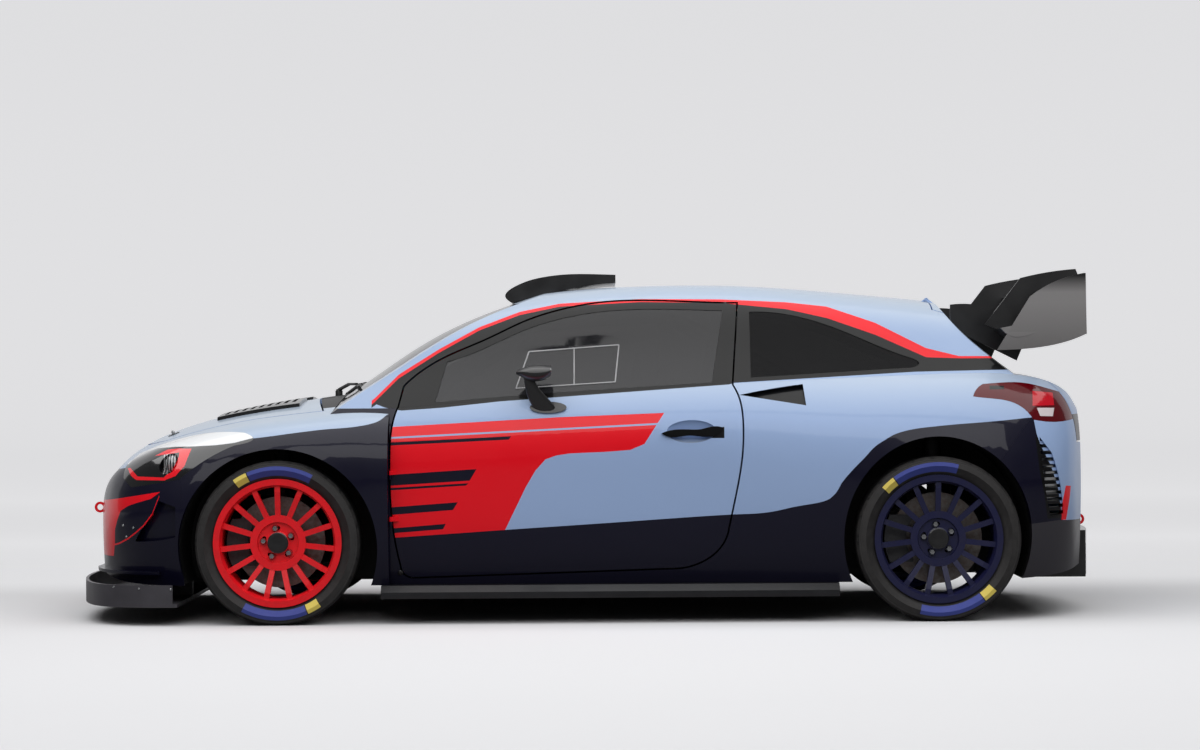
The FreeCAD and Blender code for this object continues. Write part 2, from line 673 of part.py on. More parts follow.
def glass_outline(level, inset):
    """The plan of the cabin at one height: bowed windscreen in front, bowed rear glass behind."""
    z_share, front, front_bow, rear, rear_bow = level
    z = z_share * roof_height
    front_x = front * half_length - inset
    rear_x = rear * half_length + inset
    edge = width * 0.6
    mid_share = 0.5
    front_fall = front_bow * half_length * (edge / half_width) ** 2
    rear_fall = rear_bow * half_length * (edge / half_width) ** 2
    front_curve = [
        xyz(front_x - front_fall, edge, z),
        xyz(front_x - front_fall * mid_share ** 2, edge * mid_share, z),
        xyz(front_x, 0, z),
        xyz(front_x - front_fall * mid_share ** 2, -edge * mid_share, z),
        xyz(front_x - front_fall, -edge, z),
    ]
    rear_curve = [
        xyz(rear_x + rear_fall, -edge, z),
        xyz(rear_x + rear_fall * mid_share ** 2, -edge * mid_share, z),
        xyz(rear_x, 0, z),
        xyz(rear_x + rear_fall * mid_share ** 2, edge * mid_share, z),
        xyz(rear_x + rear_fall, edge, z),
    ]
    edges = [
        spline(front_curve),
        Part.makeLine(front_curve[-1], rear_curve[0]),
        spline(rear_curve),
        Part.makeLine(rear_curve[-1], front_curve[0]),
    ]
    return Part.Wire(edges)


def cabin_hull(side_inset=0, roof_inset=0, screen_inset=0):
    """The solid of the cabin above the belt: roof and sides cut by the two bowed glasses."""
    arch = Part.makeLoft([cabin_section(s, side_inset, roof_inset) for s in CABIN_STATION_SHARES], True, False)
    glass = Part.makeLoft([glass_outline(g, screen_inset) for g in GLASS_LEVEL_SHARES], True, False)
    return arch.common(glass)


def side_points(runs):
    """Runs of (x, z) shares as lengths."""
    return [[(x * half_length, z * roof_height) for x, z in run] for run in runs]


def plan_points(runs):
    """Runs of (x, y) shares as lengths."""
    return [[(x * half_length, y * half_width) for x, y in run] for run in runs]


def end_points(runs):
    """Runs of (y, z) shares as lengths."""
    return [[(y * half_width, z * roof_height) for y, z in run] for run in runs]


def grown(runs, distance):
    """The same closed outline with every side moved outwards by the distance, or inwards where it is negative."""
    loop = []
    for run in runs:
        loop.extend(run[:-1])
    count = len(loop)
    doubled_area = 0
    for i in range(count):
        a = loop[i - 1]
        b = loop[i]
        doubled_area += a[0] * b[1] - b[0] * a[1]
    turn = math.copysign(1, doubled_area)
    moved = []
    for i in range(count):
        into = unit_step(loop[i - 1], loop[i])
        onward = unit_step(loop[i], loop[(i + 1) % count])
        normal_in = (into[1] * turn, -into[0] * turn)
        normal_on = (onward[1] * turn, -onward[0] * turn)
        spread = 1 + normal_in[0] * normal_on[0] + normal_in[1] * normal_on[1]
        moved.append((
            loop[i][0] + distance * (normal_in[0] + normal_on[0]) / spread,
            loop[i][1] + distance * (normal_in[1] + normal_on[1]) / spread,
        ))
    result = []
    start = 0
    for run in runs:
        steps = len(run) - 1
        result.append([moved[(start + k) % count] for k in range(steps + 1)])
        start += steps
    return result


def whole(half_runs, flip):
    """A closed outline from its left half: the runs, then the same runs turned over in the other order."""
    result = [list(run) for run in half_runs]
    for run in reversed(half_runs):
        result.append([flip(point) for point in reversed(run)])
    return result


# Helpers for round and tubular pieces


def ring(profile, centre):
    """A solid turned about a crosswise axis, from (radius, offset across) points."""
    points = [xyz(centre.x, centre.y + offset, centre.z + radius) for radius, offset in profile]
    wire = Part.makePolygon(points + [points[0]])
    return Part.Face(wire).revolve(centre, xyz(0, 1, 0), 360)


def rod(start, end, radius):
    """A round bar between two points."""
    along = end.sub(start)
    return Part.makeCylinder(radius, along.Length, start, along)


def tube(points, radius):
    """A tube through the points, with a ball at each bend."""
    shape = rod(points[0], points[1], radius)
    for i in range(1, len(points) - 1):
        shape = shape.fuse(Part.makeSphere(radius, points[i]))
        shape = shape.fuse(rod(points[i], points[i + 1], radius))
    return shape


def place(x_share, y_share, z_share):
    """A point given as shares of the half length, half width and roof height."""
    return xyz(x_share * half_length, y_share * half_width, z_share * roof_height)


def pair(shape):
    """A left piece and its mirror image, as two solids."""
    return Part.makeCompound([shape, mirrored(shape)])


def upright_oval(x_low, y, z, half_y, half_z):
    """A flat oval wire that faces along the car, wider than high."""
    return Part.Wire(Part.Ellipse(xyz(x_low, y + half_y, z), xyz(x_low, y, z + half_z), xyz(x_low, y, z)).toShape())


def level_oval(x, y, z, half_x, half_y):
    """A level oval wire, longer than wide."""
    return Part.Wire(Part.Ellipse(xyz(x + half_x, y, z), xyz(x, y + half_y, z), xyz(x, y, z)).toShape())


def ellipsoid(centre, half_x, half_y, half_z):
    """A ball stretched to three half sizes."""
    matrix = FreeCAD.Matrix()
    matrix.scale(half_x, half_y, half_z)
    return Part.makeSphere(1.0).transformGeometry(matrix).translated(centre)


def slabs(low, high, thickness, pitch, x_low, x_high, y_low, y_high):
    """Level slabs one above the other, as a compound."""
    shapes = []
    z = low
    while z + thickness < high:
        shapes.append(box(x_low, x_high, y_low, y_high, z, z + thickness))
        z += pitch
    return Part.makeCompound(shapes)


def flipped(point):
    """An (x, y) point on the other side of the car."""
    return (point[0], -point[1])


def turned_over(point):
    """A (y, z) point on the other side of the car."""
    return (-point[0], point[1])


def main_solids(shape, least_share=0.02):
    """The shape without the slivers that a cut leaves."""
    solids = sorted(shape.Solids, key=lambda solid: -solid.Volume)
    kept = [solid for solid in solids if solid.Volume > least_share * solids[0].Volume]
    if len(kept) == 1:
        return kept[0]
    return Part.makeCompound(kept)


def hinge_half(lug, centre, axis, start, end, bore):
    """A ring round the hinge axis with its lug, between two distances along the axis. Its bore holds the pin."""
    base = centre.add(xyz(axis.x * start, axis.y * start, axis.z * start))
    height = end - start
    wire = Part.makePolygon(lug + [lug[0]])
    plate = Part.Face(wire).extrude(xyz(axis.x * height, axis.y * height, axis.z * height))
    shape = Part.makeCylinder(hinge_knuckle_radius, height, base, axis).fuse(plate)
    if bore > 0:
        shape = shape.cut(Part.makeCylinder(bore, height, base, axis))
    return shape


def door_hinge(lug_shares, start, end, bore):
    """Both left door hinges' halves for one side of the joint."""
    halves = []
    for level in door_hinge_levels:
        centre = xyz(door_hinge_x, door_hinge_y, level)
        lug = [xyz(centre.x + x * hinge_knuckle_radius, centre.y + y * hinge_knuckle_radius, level + start)
               for x, y in lug_shares]
        halves.append(hinge_half(lug, centre, xyz(0, 0, 1), start, end, bore))
    return halves


def door_hinge_pins():
    pins = []
    for level in door_hinge_levels:
        foot = xyz(door_hinge_x, door_hinge_y, level - hinge_half_length)
        pins.append(Part.makeCylinder(hinge_pin_radius, 2 * hinge_half_length, foot, xyz(0, 0, 1)))
    return pins


def tailgate_hinge(flip, start, end, bore):
    """Both of the tailgate's hinge halves for one side of the joint. A flip of -1 turns the lugs rearwards."""
    centre = xyz(tailgate_hinge_x, tailgate_hinge_y, tailgate_hinge_z)
    lug = [xyz(centre.x + flip * x * hinge_knuckle_radius, centre.y + start, centre.z + z * hinge_knuckle_radius)
           for x, z in HINGE_LUG_SHARES]
    half = hinge_half(lug, centre, xyz(0, 1, 0), start, end, bore)
    return [half, mirrored(half)]


def tailgate_hinge_pins():
    foot = xyz(tailgate_hinge_x, tailgate_hinge_y - hinge_half_length, tailgate_hinge_z)
    pin = Part.makeCylinder(hinge_pin_radius, 2 * hinge_half_length, foot, xyz(0, 1, 0))
    return [pin, mirrored(pin)]


def bonnet_arms():
    """The two arms that join the bonnet to its hinge pins."""
    half = hinge_half_length / 2
    centre = xyz(bonnet_hinge_x, bonnet_hinge_y, bonnet_hinge_z)
    lug = [xyz(centre.x + x * hinge_knuckle_radius, centre.y - half, centre.z + z * hinge_knuckle_radius)
           for x, z in BONNET_ARM_SHARES]
    arm = hinge_half(lug, centre, xyz(0, 1, 0), -half, half, hinge_pin_radius + pin_gap)
    return [arm, mirrored(arm)]


def bonnet_notch():
    """The room in the cowl round the left hinge arm."""
    half = hinge_half_length / 2 + moving_gap
    rear = bonnet_hinge_x - hinge_knuckle_radius - moving_gap
    return box(rear, COWL_FRONT_SHARE * half_length, bonnet_hinge_y - half, bonnet_hinge_y + half, 0, roof_height)


def bonnet_hinge_pin():
    """The left pin, whose ends sit in the cowl on both sides of the notch."""
    half = hinge_half_length / 2 + moving_gap + hinge_knuckle_radius
    foot = xyz(bonnet_hinge_x, bonnet_hinge_y - half, bonnet_hinge_z)
    return Part.makeCylinder(hinge_pin_radius, 2 * half, foot, xyz(0, 1, 0))


def pillar_bevel():
    """What the door's rear upper edge loses on its inner side, to swing past the pillar."""
    (x_belt, z_belt), (x_roof, z_roof) = side_points(DOOR_SHARES)[6]
    belt_y = CABIN_STATION_SHARES[6][2][0] * half_width
    roof_y = CABIN_STATION_SHARES[6][4][0] * half_width
    wires = []
    for x, y, z, depth in ((x_belt, belt_y, z_belt, bevel_at_belt), (x_roof, roof_y, z_roof, bevel_at_roof)):
        inner = y - 2 * pillar_wall
        corners = [xyz(x - depth, y - bevel_skin, z), xyz(x, y - bevel_skin, z),
                   xyz(x + depth, inner, z), xyz(x - depth, inner, z)]
        wires.append(Part.makePolygon(corners + [corners[0]]))
    return Part.makeLoft(wires, True, True)


# Regions that part one panel from the next


def side_region(inset):
    """Everything outboard of the left side line, drawn outwards by the inset."""
    line = [[(x, y + inset) for x, y in run] for run in plan_points(SIDE_LINE_SHARES)]
    start = line[0][0]
    end = line[-1][-1]
    out_end = (end[0], width)
    out_start = (start[0], width)
    return plan_prism(line + [[end, out_end], [out_end, out_start], [out_start, start]], 0, 2 * roof_height)


def middle_region(inset):
    """Everything between the two side lines, drawn in by the inset."""
    line = [[(x, y - inset) for x, y in run] for run in plan_points(SIDE_LINE_SHARES)]
    start = line[0][0]
    end = line[-1][-1]
    half = [[(start[0], 0), start]] + line + [[end, (end[0], 0)]]
    return plan_prism(whole(half, flipped), 0, 2 * roof_height)


def ahead_of_header(shift):
    """Everything in front of the roof's front edge, which is moved forwards by the shift."""
    half = [(x + shift, y) for x, y in plan_points([HEADER_LINE_SHARES])[0]]
    curve = half + [flipped(point) for point in reversed(half[:-1])]
    left = (curve[0][0], width)
    right = (curve[-1][0], -width)
    front_right = (half_length, -width)
    front_left = (half_length, width)
    runs = [[left, curve[0]], curve, [curve[-1], right], [right, front_right], [front_right, front_left]]
    return plan_prism(runs + [[front_left, left]], 0, 2 * roof_height)


def bonnet_region(distance, front_distance):
    """The bonnet's plan, grown by one distance at the sides and rear and by another at the front."""
    side, front, rear = plan_points([BONNET_SIDE_SHARES, BONNET_FRONT_SHARES, BONNET_REAR_SHARES])
    side = [(x, y + distance) for x, y in side]
    front = [(x + front_distance, y) for x, y in front]
    rear = [(x - distance, y) for x, y in rear]
    side[0] = (rear[0][0], side[0][1])
    rear[0] = side[0]
    front[0] = side[-1]
    half = [list(reversed(rear)), side, front]
    runs = whole(half, flipped)
    return plan_prism(runs, floor_height, 2 * roof_height)


def arch_prism(x, z, half_span, rise, y_low, y_high):
    """An elliptical prism across the car, taller than long or round."""
    face = Part.Face(Part.Wire(Part.Ellipse(
        xyz(x, y_low, z + rise), xyz(x + half_span, y_low, z), xyz(x, y_low, z)).toShape()))
    return face.extrude(xyz(0, y_high - y_low, 0))


def front_arch(grow, y_low, y_high):
    """The room for a front wheel."""
    centre = xyz(front_axle_x, y_low, tyre_radius - front_arch_drop)
    return Part.makeCylinder(front_arch_radius + grow, y_high - y_low, centre, xyz(0, 1, 0))


def rear_arch(grow, y_low, y_high):
    """The room for a rear wheel."""
    z = tyre_radius + rear_arch_rise
    return arch_prism(rear_axle_x, z, rear_arch_half_length + grow, rear_arch_height + grow, y_low, y_high)


def hinge_line_x():
    """The front edge of the tailgate."""
    return TAILGATE_HINGE_SHARE * half_length


class Body:
    """The painted panels and what is cut from the same three hulls."""

    def __init__(self):
        self.lower = body_hull(LOWER_STATION_SHARES)
        self.lower_inner = body_hull(LOWER_STATION_SHARES, side_wall, panel_wall, bumper_wall, -floor_height)
        self.front = body_hull(FRONT_STATION_SHARES)
        self.front_inner = body_hull(FRONT_STATION_SHARES, fender_wall, panel_wall, bumper_wall, -floor_height)
        self.cabin = cabin_hull()
        self.cabin_inner = cabin_hull(pillar_wall, roof_wall, pillar_wall)
        self.cabin_shell = self.cabin.cut(self.cabin_inner)
        self.lower_shell = self.lower.cut(self.lower_inner).cut(self.cabin_inner)
        self.front_shell = self.front.cut(self.front_inner)
        outer_glass = cabin_hull(glass_inset, glass_inset, glass_inset)
        deeper = glass_inset + glass_thickness
        self.glass_shell = outer_glass.cut(cabin_hull(deeper, deeper, deeper))
        self.rear_bumper_room = side_prism(side_points(REAR_BUMPER_SHARES), -width, width)
        self.lower_recess = body_hull(LOWER_STATION_SHARES, panel_recess, 0, 0, 0)
        self.left_side = self.make_left_side()
        self.seat_cabin = cabin_hull(-seat_gap, -seat_gap, -seat_gap)
        self.seat_hull = self.seat_cabin.fuse(body_hull(LOWER_STATION_SHARES, -seat_gap, -seat_gap, -seat_gap, 0))

    def make_left_side(self):
        """The left body side with its door still in it."""
        upper = self.cabin_shell.common(side_region(0))
        lower = self.lower_shell.common(side_region(0))
        pillar_foot_z = DOOR_SILL_TOP_SHARE * roof_height
        ahead = box(bulkhead_x, half_length, 0, width, 0, 2 * roof_height)
        lower = lower.cut(ahead)
        above_post = box(DOOR_FRONT_SHARE * half_length, half_length, 0, width, pillar_foot_z, 2 * roof_height)
        lower = lower.cut(above_post)
        return upper.fuse(lower)

    def body_side(self):
        shape = self.left_side
        shape = shape.cut(side_prism(grown(side_points(DOOR_SHARES), door_gap), 0, width))
        shape = shape.cut(side_prism(side_points(QUARTER_WINDOW_SHARES), 0, width))
        shape = shape.cut(rear_arch(0, 0, width))
        shape = shape.cut(self.rear_bumper_room)
        shape = shape.cut(side_prism(grown(side_points(TAIL_LAMP_SHARES), seat_gap), 0, width))
        intake = side_prism(side_points(QUARTER_INTAKE_SHARES), 0, width).common(self.lower)
        shape = shape.cut(intake.cut(self.lower_recess))
        hinges = door_hinge(HINGE_LUG_SHARES, -hinge_half_length, -pin_gap / 2, 0)
        return main_solids(shape).fuse(hinges + door_hinge_pins())

    def door(self):
        shape = self.left_side.common(side_prism(side_points(DOOR_SHARES), 0, width))
        shape = shape.cut(side_prism(side_points(DOOR_WINDOW_SHARES), 0, width))
        hinges = door_hinge(DOOR_LUG_SHARES, pin_gap / 2, hinge_half_length, hinge_pin_radius + pin_gap)
        return main_solids(shape.cut(pillar_bevel()).cut(handle_dish())).fuse(hinges + [handle()])

    def door_glass(self):
        pane = side_prism(grown(side_points(DOOR_WINDOW_SHARES), -seat_gap), 0, width)
        return main_solids(self.glass_shell.common(pane))

    def quarter_glass(self):
        pane = side_prism(grown(side_points(QUARTER_WINDOW_SHARES), -seat_gap), 0, width)
        return main_solids(self.glass_shell.common(pane))

    def roof(self):
        shape = self.cabin_shell.common(middle_region(seat_gap)).cut(ahead_of_header(0))
        behind = box(-half_length, hinge_line_x(), -width, width, 0, 2 * roof_height)
        hinges = tailgate_hinge(1, -hinge_half_length, -pin_gap / 2, 0)
        return main_solids(shape.cut(behind)).fuse(hinges + tailgate_hinge_pins())

    def windscreen(self):
        shape = self.glass_shell.common(middle_region(seat_gap)).common(ahead_of_header(seat_gap))
        return main_solids(shape.cut(body_hull(FRONT_STATION_SHARES, 0, -seat_gap, 0, 0)))

    def rear_window_prism(self, distance):
        half = end_points(REAR_WINDOW_SHARES)
        runs = whole(half, turned_over)
        return end_prism(grown(runs, distance), -half_length, hinge_line_x() - overrun)

    def tailgate(self):
        region = middle_region(moving_gap).common(
            box(-half_length, hinge_line_x() - moving_gap, -width, width,
                TAILGATE_BOTTOM_SHARE * roof_height, 2 * roof_height))
        upper = self.cabin_shell.common(region)
        lower = self.lower_shell.cut(self.cabin).common(region)
        shape = main_solids(upper.fuse(lower).cut(self.rear_window_prism(0)))
        return shape.fuse(tailgate_hinge(-1, pin_gap / 2, hinge_half_length, hinge_pin_radius + pin_gap))

    def rear_window(self):
        return main_solids(self.glass_shell.common(self.rear_window_prism(-seat_gap)))

    def front_fender(self):
        left = box(0, half_length, 0, width, 0, 2 * roof_height)
        shape = self.front_shell.common(left).cut(bonnet_region(bonnet_gap, bonnet_front_gap))
        rear_cut = box(-half_length, FENDER_REAR_SHARE * half_length, 0, width, 0, 2 * roof_height)
        cowl = box(0, half_length, -COWL_SIDE_SHARE * half_width, COWL_SIDE_SHARE * half_width, 0, 2 * roof_height)
        behind_bonnet = box(0, COWL_FRONT_SHARE * half_length, 0, width, 0, 2 * roof_height)
        behind = cowl.cut(bonnet_region(0, overrun)).common(behind_bonnet)
        shape = shape.cut(rear_cut).cut(self.cabin).cut(behind)
        shape = shape.cut(front_arch(0, 0, width))
        shape = shape.cut(side_prism(side_points(FRONT_BUMPER_SHARES), 0, width))
        shape = shape.cut(side_prism(grown(side_points(HEADLAMP_SHARES), seat_gap), 0, width))
        return main_solids(shape)

    def bonnet(self):
        shell = self.front.cut(body_hull(FRONT_STATION_SHARES, -overrun, panel_wall, 0, 0))
        hole = plan_prism(grown(plan_points(BONNET_VENT_SHARES), -vent_rim), 0, 2 * roof_height)
        shell = shell.cut(hole).cut(mirrored(hole))
        return main_solids(shell.common(bonnet_region(0, 0))).fuse(bonnet_arms())

    def bonnet_vent(self):
        """The left raised vent on the bonnet, with its louvre slots."""
        runs = plan_points(BONNET_VENT_SHARES)
        column = plan_prism(runs, roof_height / 2, 2 * roof_height)
        shape = column.common(body_hull(FRONT_STATION_SHARES, 0, -vent_height, 0, 0))
        shape = shape.cut(body_hull(FRONT_STATION_SHARES, 0, -seat_gap, 0, 0))
        inner_y = runs[0][0][1] + vent_rim
        outer_y = runs[0][1][1] - vent_rim
        x = runs[1][1][0] + vent_rim
        slots = []
        while x + vent_slot < runs[0][0][0] - vent_rim:
            slots.append(box(x, x + vent_slot, inner_y, outer_y, 0, 2 * roof_height))
            x += vent_pitch
        return main_solids(shape.cut(Part.makeCompound(slots)))

    def front_bumper(self):
        region = side_prism(grown(side_points(FRONT_BUMPER_SHARES), -seat_gap), -width, width)
        shape = self.front_shell.common(region).cut(bonnet_region(bonnet_gap, bonnet_front_gap))
        lamp = side_prism(grown(side_points(HEADLAMP_SHARES), seat_gap), LAMP_INNER_SHARE * half_width, width)
        shape = shape.cut(lamp).cut(mirrored(lamp))
        shape = shape.cut(front_arch(0, 0, width)).cut(front_arch(0, -width, 0))
        scoop = side_prism(side_points(BUMPER_SCOOP_SHARES), 0, width).common(self.front)
        scoop = scoop.cut(body_hull(FRONT_STATION_SHARES, panel_recess, 0, panel_recess, 0))
        shape = shape.cut(scoop).cut(mirrored(scoop))
        shape = main_solids(shape.cut(grille_prism(0)).cut(tow_slot(front_tow_z())))
        return shape.fuse(self.nose_ledge())

    def nose_ledge(self):
        """The thin ledge round the nose, over the splitter."""
        x_low, z_low = LEDGE_SHARES[0] * half_length, LEDGE_SHARES[1] * roof_height
        slab = box(x_low, half_length, -width, width, z_low, z_low + ledge_thickness)
        outer = body_hull(FRONT_STATION_SHARES, -ledge_reach, 0, -ledge_reach, 0)
        return outer.common(slab).cut(self.front_inner)

    def grille(self):
        shape = self.front_shell.common(grille_prism(-seat_gap))
        front = half_length
        slot_height = grille_pitch - grille_bar
        low, high = GRILLE_SHARES[0][0][1] * roof_height, GRILLE_SHARES[2][1][1] * roof_height
        count = int((high - low) / grille_pitch)
        for i in range(count):
            z = low + grille_bar + i * grille_pitch
            for side in (-1, 1):
                inner = side * grille_bar
                outer = side * (GRILLE_SHARES[0][1][0] * half_width - 2 * grille_bar)
                slot = box(0, front, min(inner, outer), max(inner, outer), z, z + slot_height)
                shape = shape.cut(slot)
        return main_solids(shape)

    def cowl(self):
        shell = self.front.cut(body_hull(FRONT_STATION_SHARES, -overrun, panel_wall, 0, 0))
        side = COWL_SIDE_SHARE * half_width - seat_gap
        room = box(0, COWL_FRONT_SHARE * half_length, -side, side, 0, 2 * roof_height)
        shape = main_solids(shell.common(room).cut(bonnet_region(bonnet_gap, overrun)).cut(self.cabin))
        shape = shape.cut(bonnet_notch()).cut(mirrored(bonnet_notch()))
        return shape.fuse([bonnet_hinge_pin(), mirrored(bonnet_hinge_pin())])

    def headlamp(self):
        region = side_prism(side_points(HEADLAMP_SHARES), LAMP_INNER_SHARE * half_width + seat_gap, width)
        shape = main_solids(self.front_shell.common(region).cut(bonnet_region(bonnet_gap, bonnet_front_gap)))
        facing = Vector(*PROJECTOR_FACING)
        eye = place(*PROJECTOR_SHARES)
        floor = eye.sub(facing * projector_pocket_depth)
        room = Part.makeCylinder(projector_pocket_radius, 2 * projector_pocket_depth, floor, facing)
        core = Part.makeCylinder(projector_radius, 2 * projector_radius, floor.sub(facing * seat_gap), facing)
        dome = Part.makeSphere(projector_radius, eye.sub(facing * projector_radius)).common(core)
        return shape.cut(room).fuse(dome)

    def tail_lamp(self):
        region = side_prism(side_points(TAIL_LAMP_SHARES), 0, width)
        return main_solids(self.lower_shell.common(side_region(0)).common(region))

    def rear_bumper(self):
        region = side_prism(grown(side_points(REAR_BUMPER_SHARES), -seat_gap), -width, width)
        shape = self.lower_shell.common(region)
        gate = middle_region(0).common(
            box(-half_length, 0, -width, width, TAILGATE_BOTTOM_SHARE * roof_height - moving_gap, 2 * roof_height))
        lamp = side_prism(grown(side_points(TAIL_LAMP_SHARES), seat_gap), 0, width)
        shape = shape.cut(gate).cut(lamp).cut(mirrored(lamp))
        shape = shape.cut(rear_arch(0, 0, width)).cut(rear_arch(0, -width, 0))
        vent = side_points(REAR_VENT_SHARES)
        low = vent[0][-1][1] + bumper_slot / 2
        high = vent[0][0][1]
        rows = slabs(low, high, bumper_slot, bumper_slot_pitch, -half_length, 0, 0, width)
        slots = rows.common(side_prism(grown(vent, -seat_gap), 0, width))
        recess = side_prism(vent, 0, width).common(self.lower)
        recess = recess.cut(body_hull(LOWER_STATION_SHARES, bumper_vent_recess, 0, 0, 0))
        for cut in (recess, slots):
            shape = shape.cut(cut).cut(mirrored(cut))
        return main_solids(shape.cut(tow_slot(rear_tow_z())))


def handle_dish():
    """The hollow behind the left door handle."""
    half_x = HANDLE_DISH_SHARES[0] * half_length
    half_z = HANDLE_DISH_SHARES[1] * roof_height
    return ellipsoid(place(*HANDLE_PLACE_SHARES), half_x, handle_dish_depth, half_z)


def handle():
    """The left door handle, whose ends are one with the door."""
    middle = place(*HANDLE_PLACE_SHARES).y
    return side_prism(side_points(HANDLE_SHARES), middle - handle_bar / 2, middle + handle_bar / 2)


def grille_prism(distance):
    """The opening in the nose, grown by the distance."""
    runs = whole(end_points(GRILLE_SHARES), turned_over)
    return end_prism(grown(runs, distance), front_axle_x + front_arch_radius, half_length)


# Structure under the panels


def nose_room():
    """The space inside the front panels, with a seat gap all round."""
    gap = seat_gap
    return body_hull(FRONT_STATION_SHARES, fender_wall + gap, panel_wall + gap, bumper_wall + gap, -floor_height)


def cabin_room():
    """The space inside the sides and tail, with a seat gap all round."""
    gap = seat_gap
    return body_hull(LOWER_STATION_SHARES, side_wall + gap, panel_wall + gap, bumper_wall + gap, -floor_height)


def wheelhouse(arch, room, x, z_low):
    """An arch-shaped liner with an inner wall that is open round the suspension."""
    inner = wheelhouse_inner_y
    liner = arch(wheelhouse_thickness, inner, width).cut(arch(0, inner + wheelhouse_wall, width))
    window = box(x - arm_window_half, x + arm_window_half, 0, inner + wheelhouse_wall + overrun, 0, arm_window_top)
    liner = liner.cut(window)
    above = box(-half_length, half_length, 0, width, z_low, 2 * roof_height)
    return liner.common(above).common(room)


def wheelhouses():
    """The four liners round the wheels, which meet the floor, the bulkhead and the panels."""
    z_low = floor_height + guard_thickness
    front = wheelhouse(front_arch, nose_room(), front_axle_x, z_low)
    front = main_solids(front.cut(box(0, bulkhead_x + seat_gap, -width, width, 0, roof_height)))
    rear = main_solids(wheelhouse(rear_arch, cabin_room(), rear_axle_x, z_low))
    return Part.makeCompound([front, mirrored(front), rear, mirrored(rear)])


def floor_pan():
    """Floor, tunnel, bulkhead, rails and jack pads, welded into one."""
    top = floor_height + floor_thickness
    rear_top = rear_floor_height + floor_thickness
    bulkhead_top = DOOR_SILL_TOP_SHARE * roof_height
    flat = box(floor_step_x, bulkhead_x, -width, width, floor_height, top)
    riser = box(floor_step_x - floor_thickness, floor_step_x, -width, width, floor_height, rear_top)
    rear = box(rear_floor_x, floor_step_x, -width, width, rear_floor_height, rear_top)
    bulkhead = box(bulkhead_x, bulkhead_x + floor_thickness, -width, width, floor_height, bulkhead_top)
    shell = flat.fuse([riser, rear, bulkhead]).common(cabin_room())
    tunnel_top = floor_height + tunnel_height
    outer = box(floor_step_x, bulkhead_x, -tunnel_half_width, tunnel_half_width, floor_height, tunnel_top)
    hollow_half = tunnel_half_width - tunnel_thickness
    front_end = bulkhead_x + floor_thickness
    hollow = box(floor_step_x - floor_thickness, front_end, -hollow_half, hollow_half,
                 0, tunnel_top - tunnel_thickness)
    shell = shell.fuse(outer).cut(hollow)
    rail_top = rail_bottom + rail_height
    guard = box(front_end, guard_front_x, -guard_half_width, guard_half_width,
                floor_height, floor_height + guard_thickness)
    beam = box(guard_front_x - rail_width, guard_front_x, -beam_half_width, beam_half_width, rail_bottom, rail_top)
    pieces = [beam, guard]
    for side in (-1, 1):
        y = side * rail_y
        pieces.append(box(front_end, guard_front_x, y - rail_width / 2, y + rail_width / 2, rail_bottom, rail_top))
        pieces.append(box(guard_front_x - rail_width, guard_front_x, y - rail_width / 2, y + rail_width / 2,
                          floor_height, rail_top))
    for side in (-1, 1):
        y = side * jack_pad_y
        pieces.append(box(-jack_pad_half, jack_pad_half, y - jack_pad_half, y + jack_pad_half,
                          floor_height - jack_pad_drop, floor_height))
    shell = shell.fuse(pieces)
    for arch in (front_arch, rear_arch):
        room = arch(wheelhouse_thickness + seat_gap, wheelhouse_inner_y - seat_gap, width)
        shell = shell.cut(room).cut(mirrored(room))
    return main_solids(shell)


def engine():
    """One plain block between the rails, with the gearbox behind it."""
    half = rail_y - rail_width / 2 - seat_gap
    low = floor_height + guard_thickness + crossmember_height + 2 * seat_gap
    block = box(engine_rear_x, engine_front_x, -half, half, low, engine_top)
    gearbox = box(engine_rear_x - gearbox_length, engine_rear_x, -gearbox_half_width, gearbox_half_width,
                  low, low + gearbox_half_width * 2)
    return block.fuse(gearbox)


def wishbone(x, z):
    """The left lower arm: a triangle with a hole, from the crossmember to the ball joint."""
    inner_y = rail_y + seat_gap
    tip = steer_low_y
    tip_half = arm_thickness
    half = arm_half_span
    points = [(x - half, inner_y), (x + half, inner_y), (x + tip_half, tip), (x - tip_half, tip)]
    outline = rounded(points, [arm_thickness / 2] * len(points))
    return plan_prism(outline, z, z + arm_thickness)


def crossmember(x, z, top):
    half = crossmember_length / 2
    bar = box(x - half, x + half, -rail_y - rail_width, rail_y + rail_width, z, top)
    ears = box(x - arm_half_span, x + arm_half_span, -rail_y - rail_width / 2, rail_y + rail_width / 2, z, top)
    return bar.fuse(ears)


def front_subframe():
    """The front crossmember with both lower arms."""
    low = floor_height + guard_thickness + seat_gap
    top = low + crossmember_height
    shape = crossmember(front_axle_x, low, top)
    arm = wishbone(front_axle_x, steer_low_z - arm_thickness * 1.5).fuse(ball_stud())
    return shape.fuse([arm, mirrored(arm)])


def ball_stud():
    """The ball on the end of the left lower arm, with its neck."""
    centre = steer_point(steer_low_z)
    neck = rod(centre.sub(xyz(0, 0, arm_thickness)), centre, ball_neck_radius)
    return Part.makeSphere(ball_radius, centre).fuse(neck)


def steer_point(z):
    """The left steering axis at a height."""
    share = (z - steer_low_z) / (steer_high_z - steer_low_z)
    return xyz(front_axle_x, steer_low_y + share * (steer_high_y - steer_low_y), z)


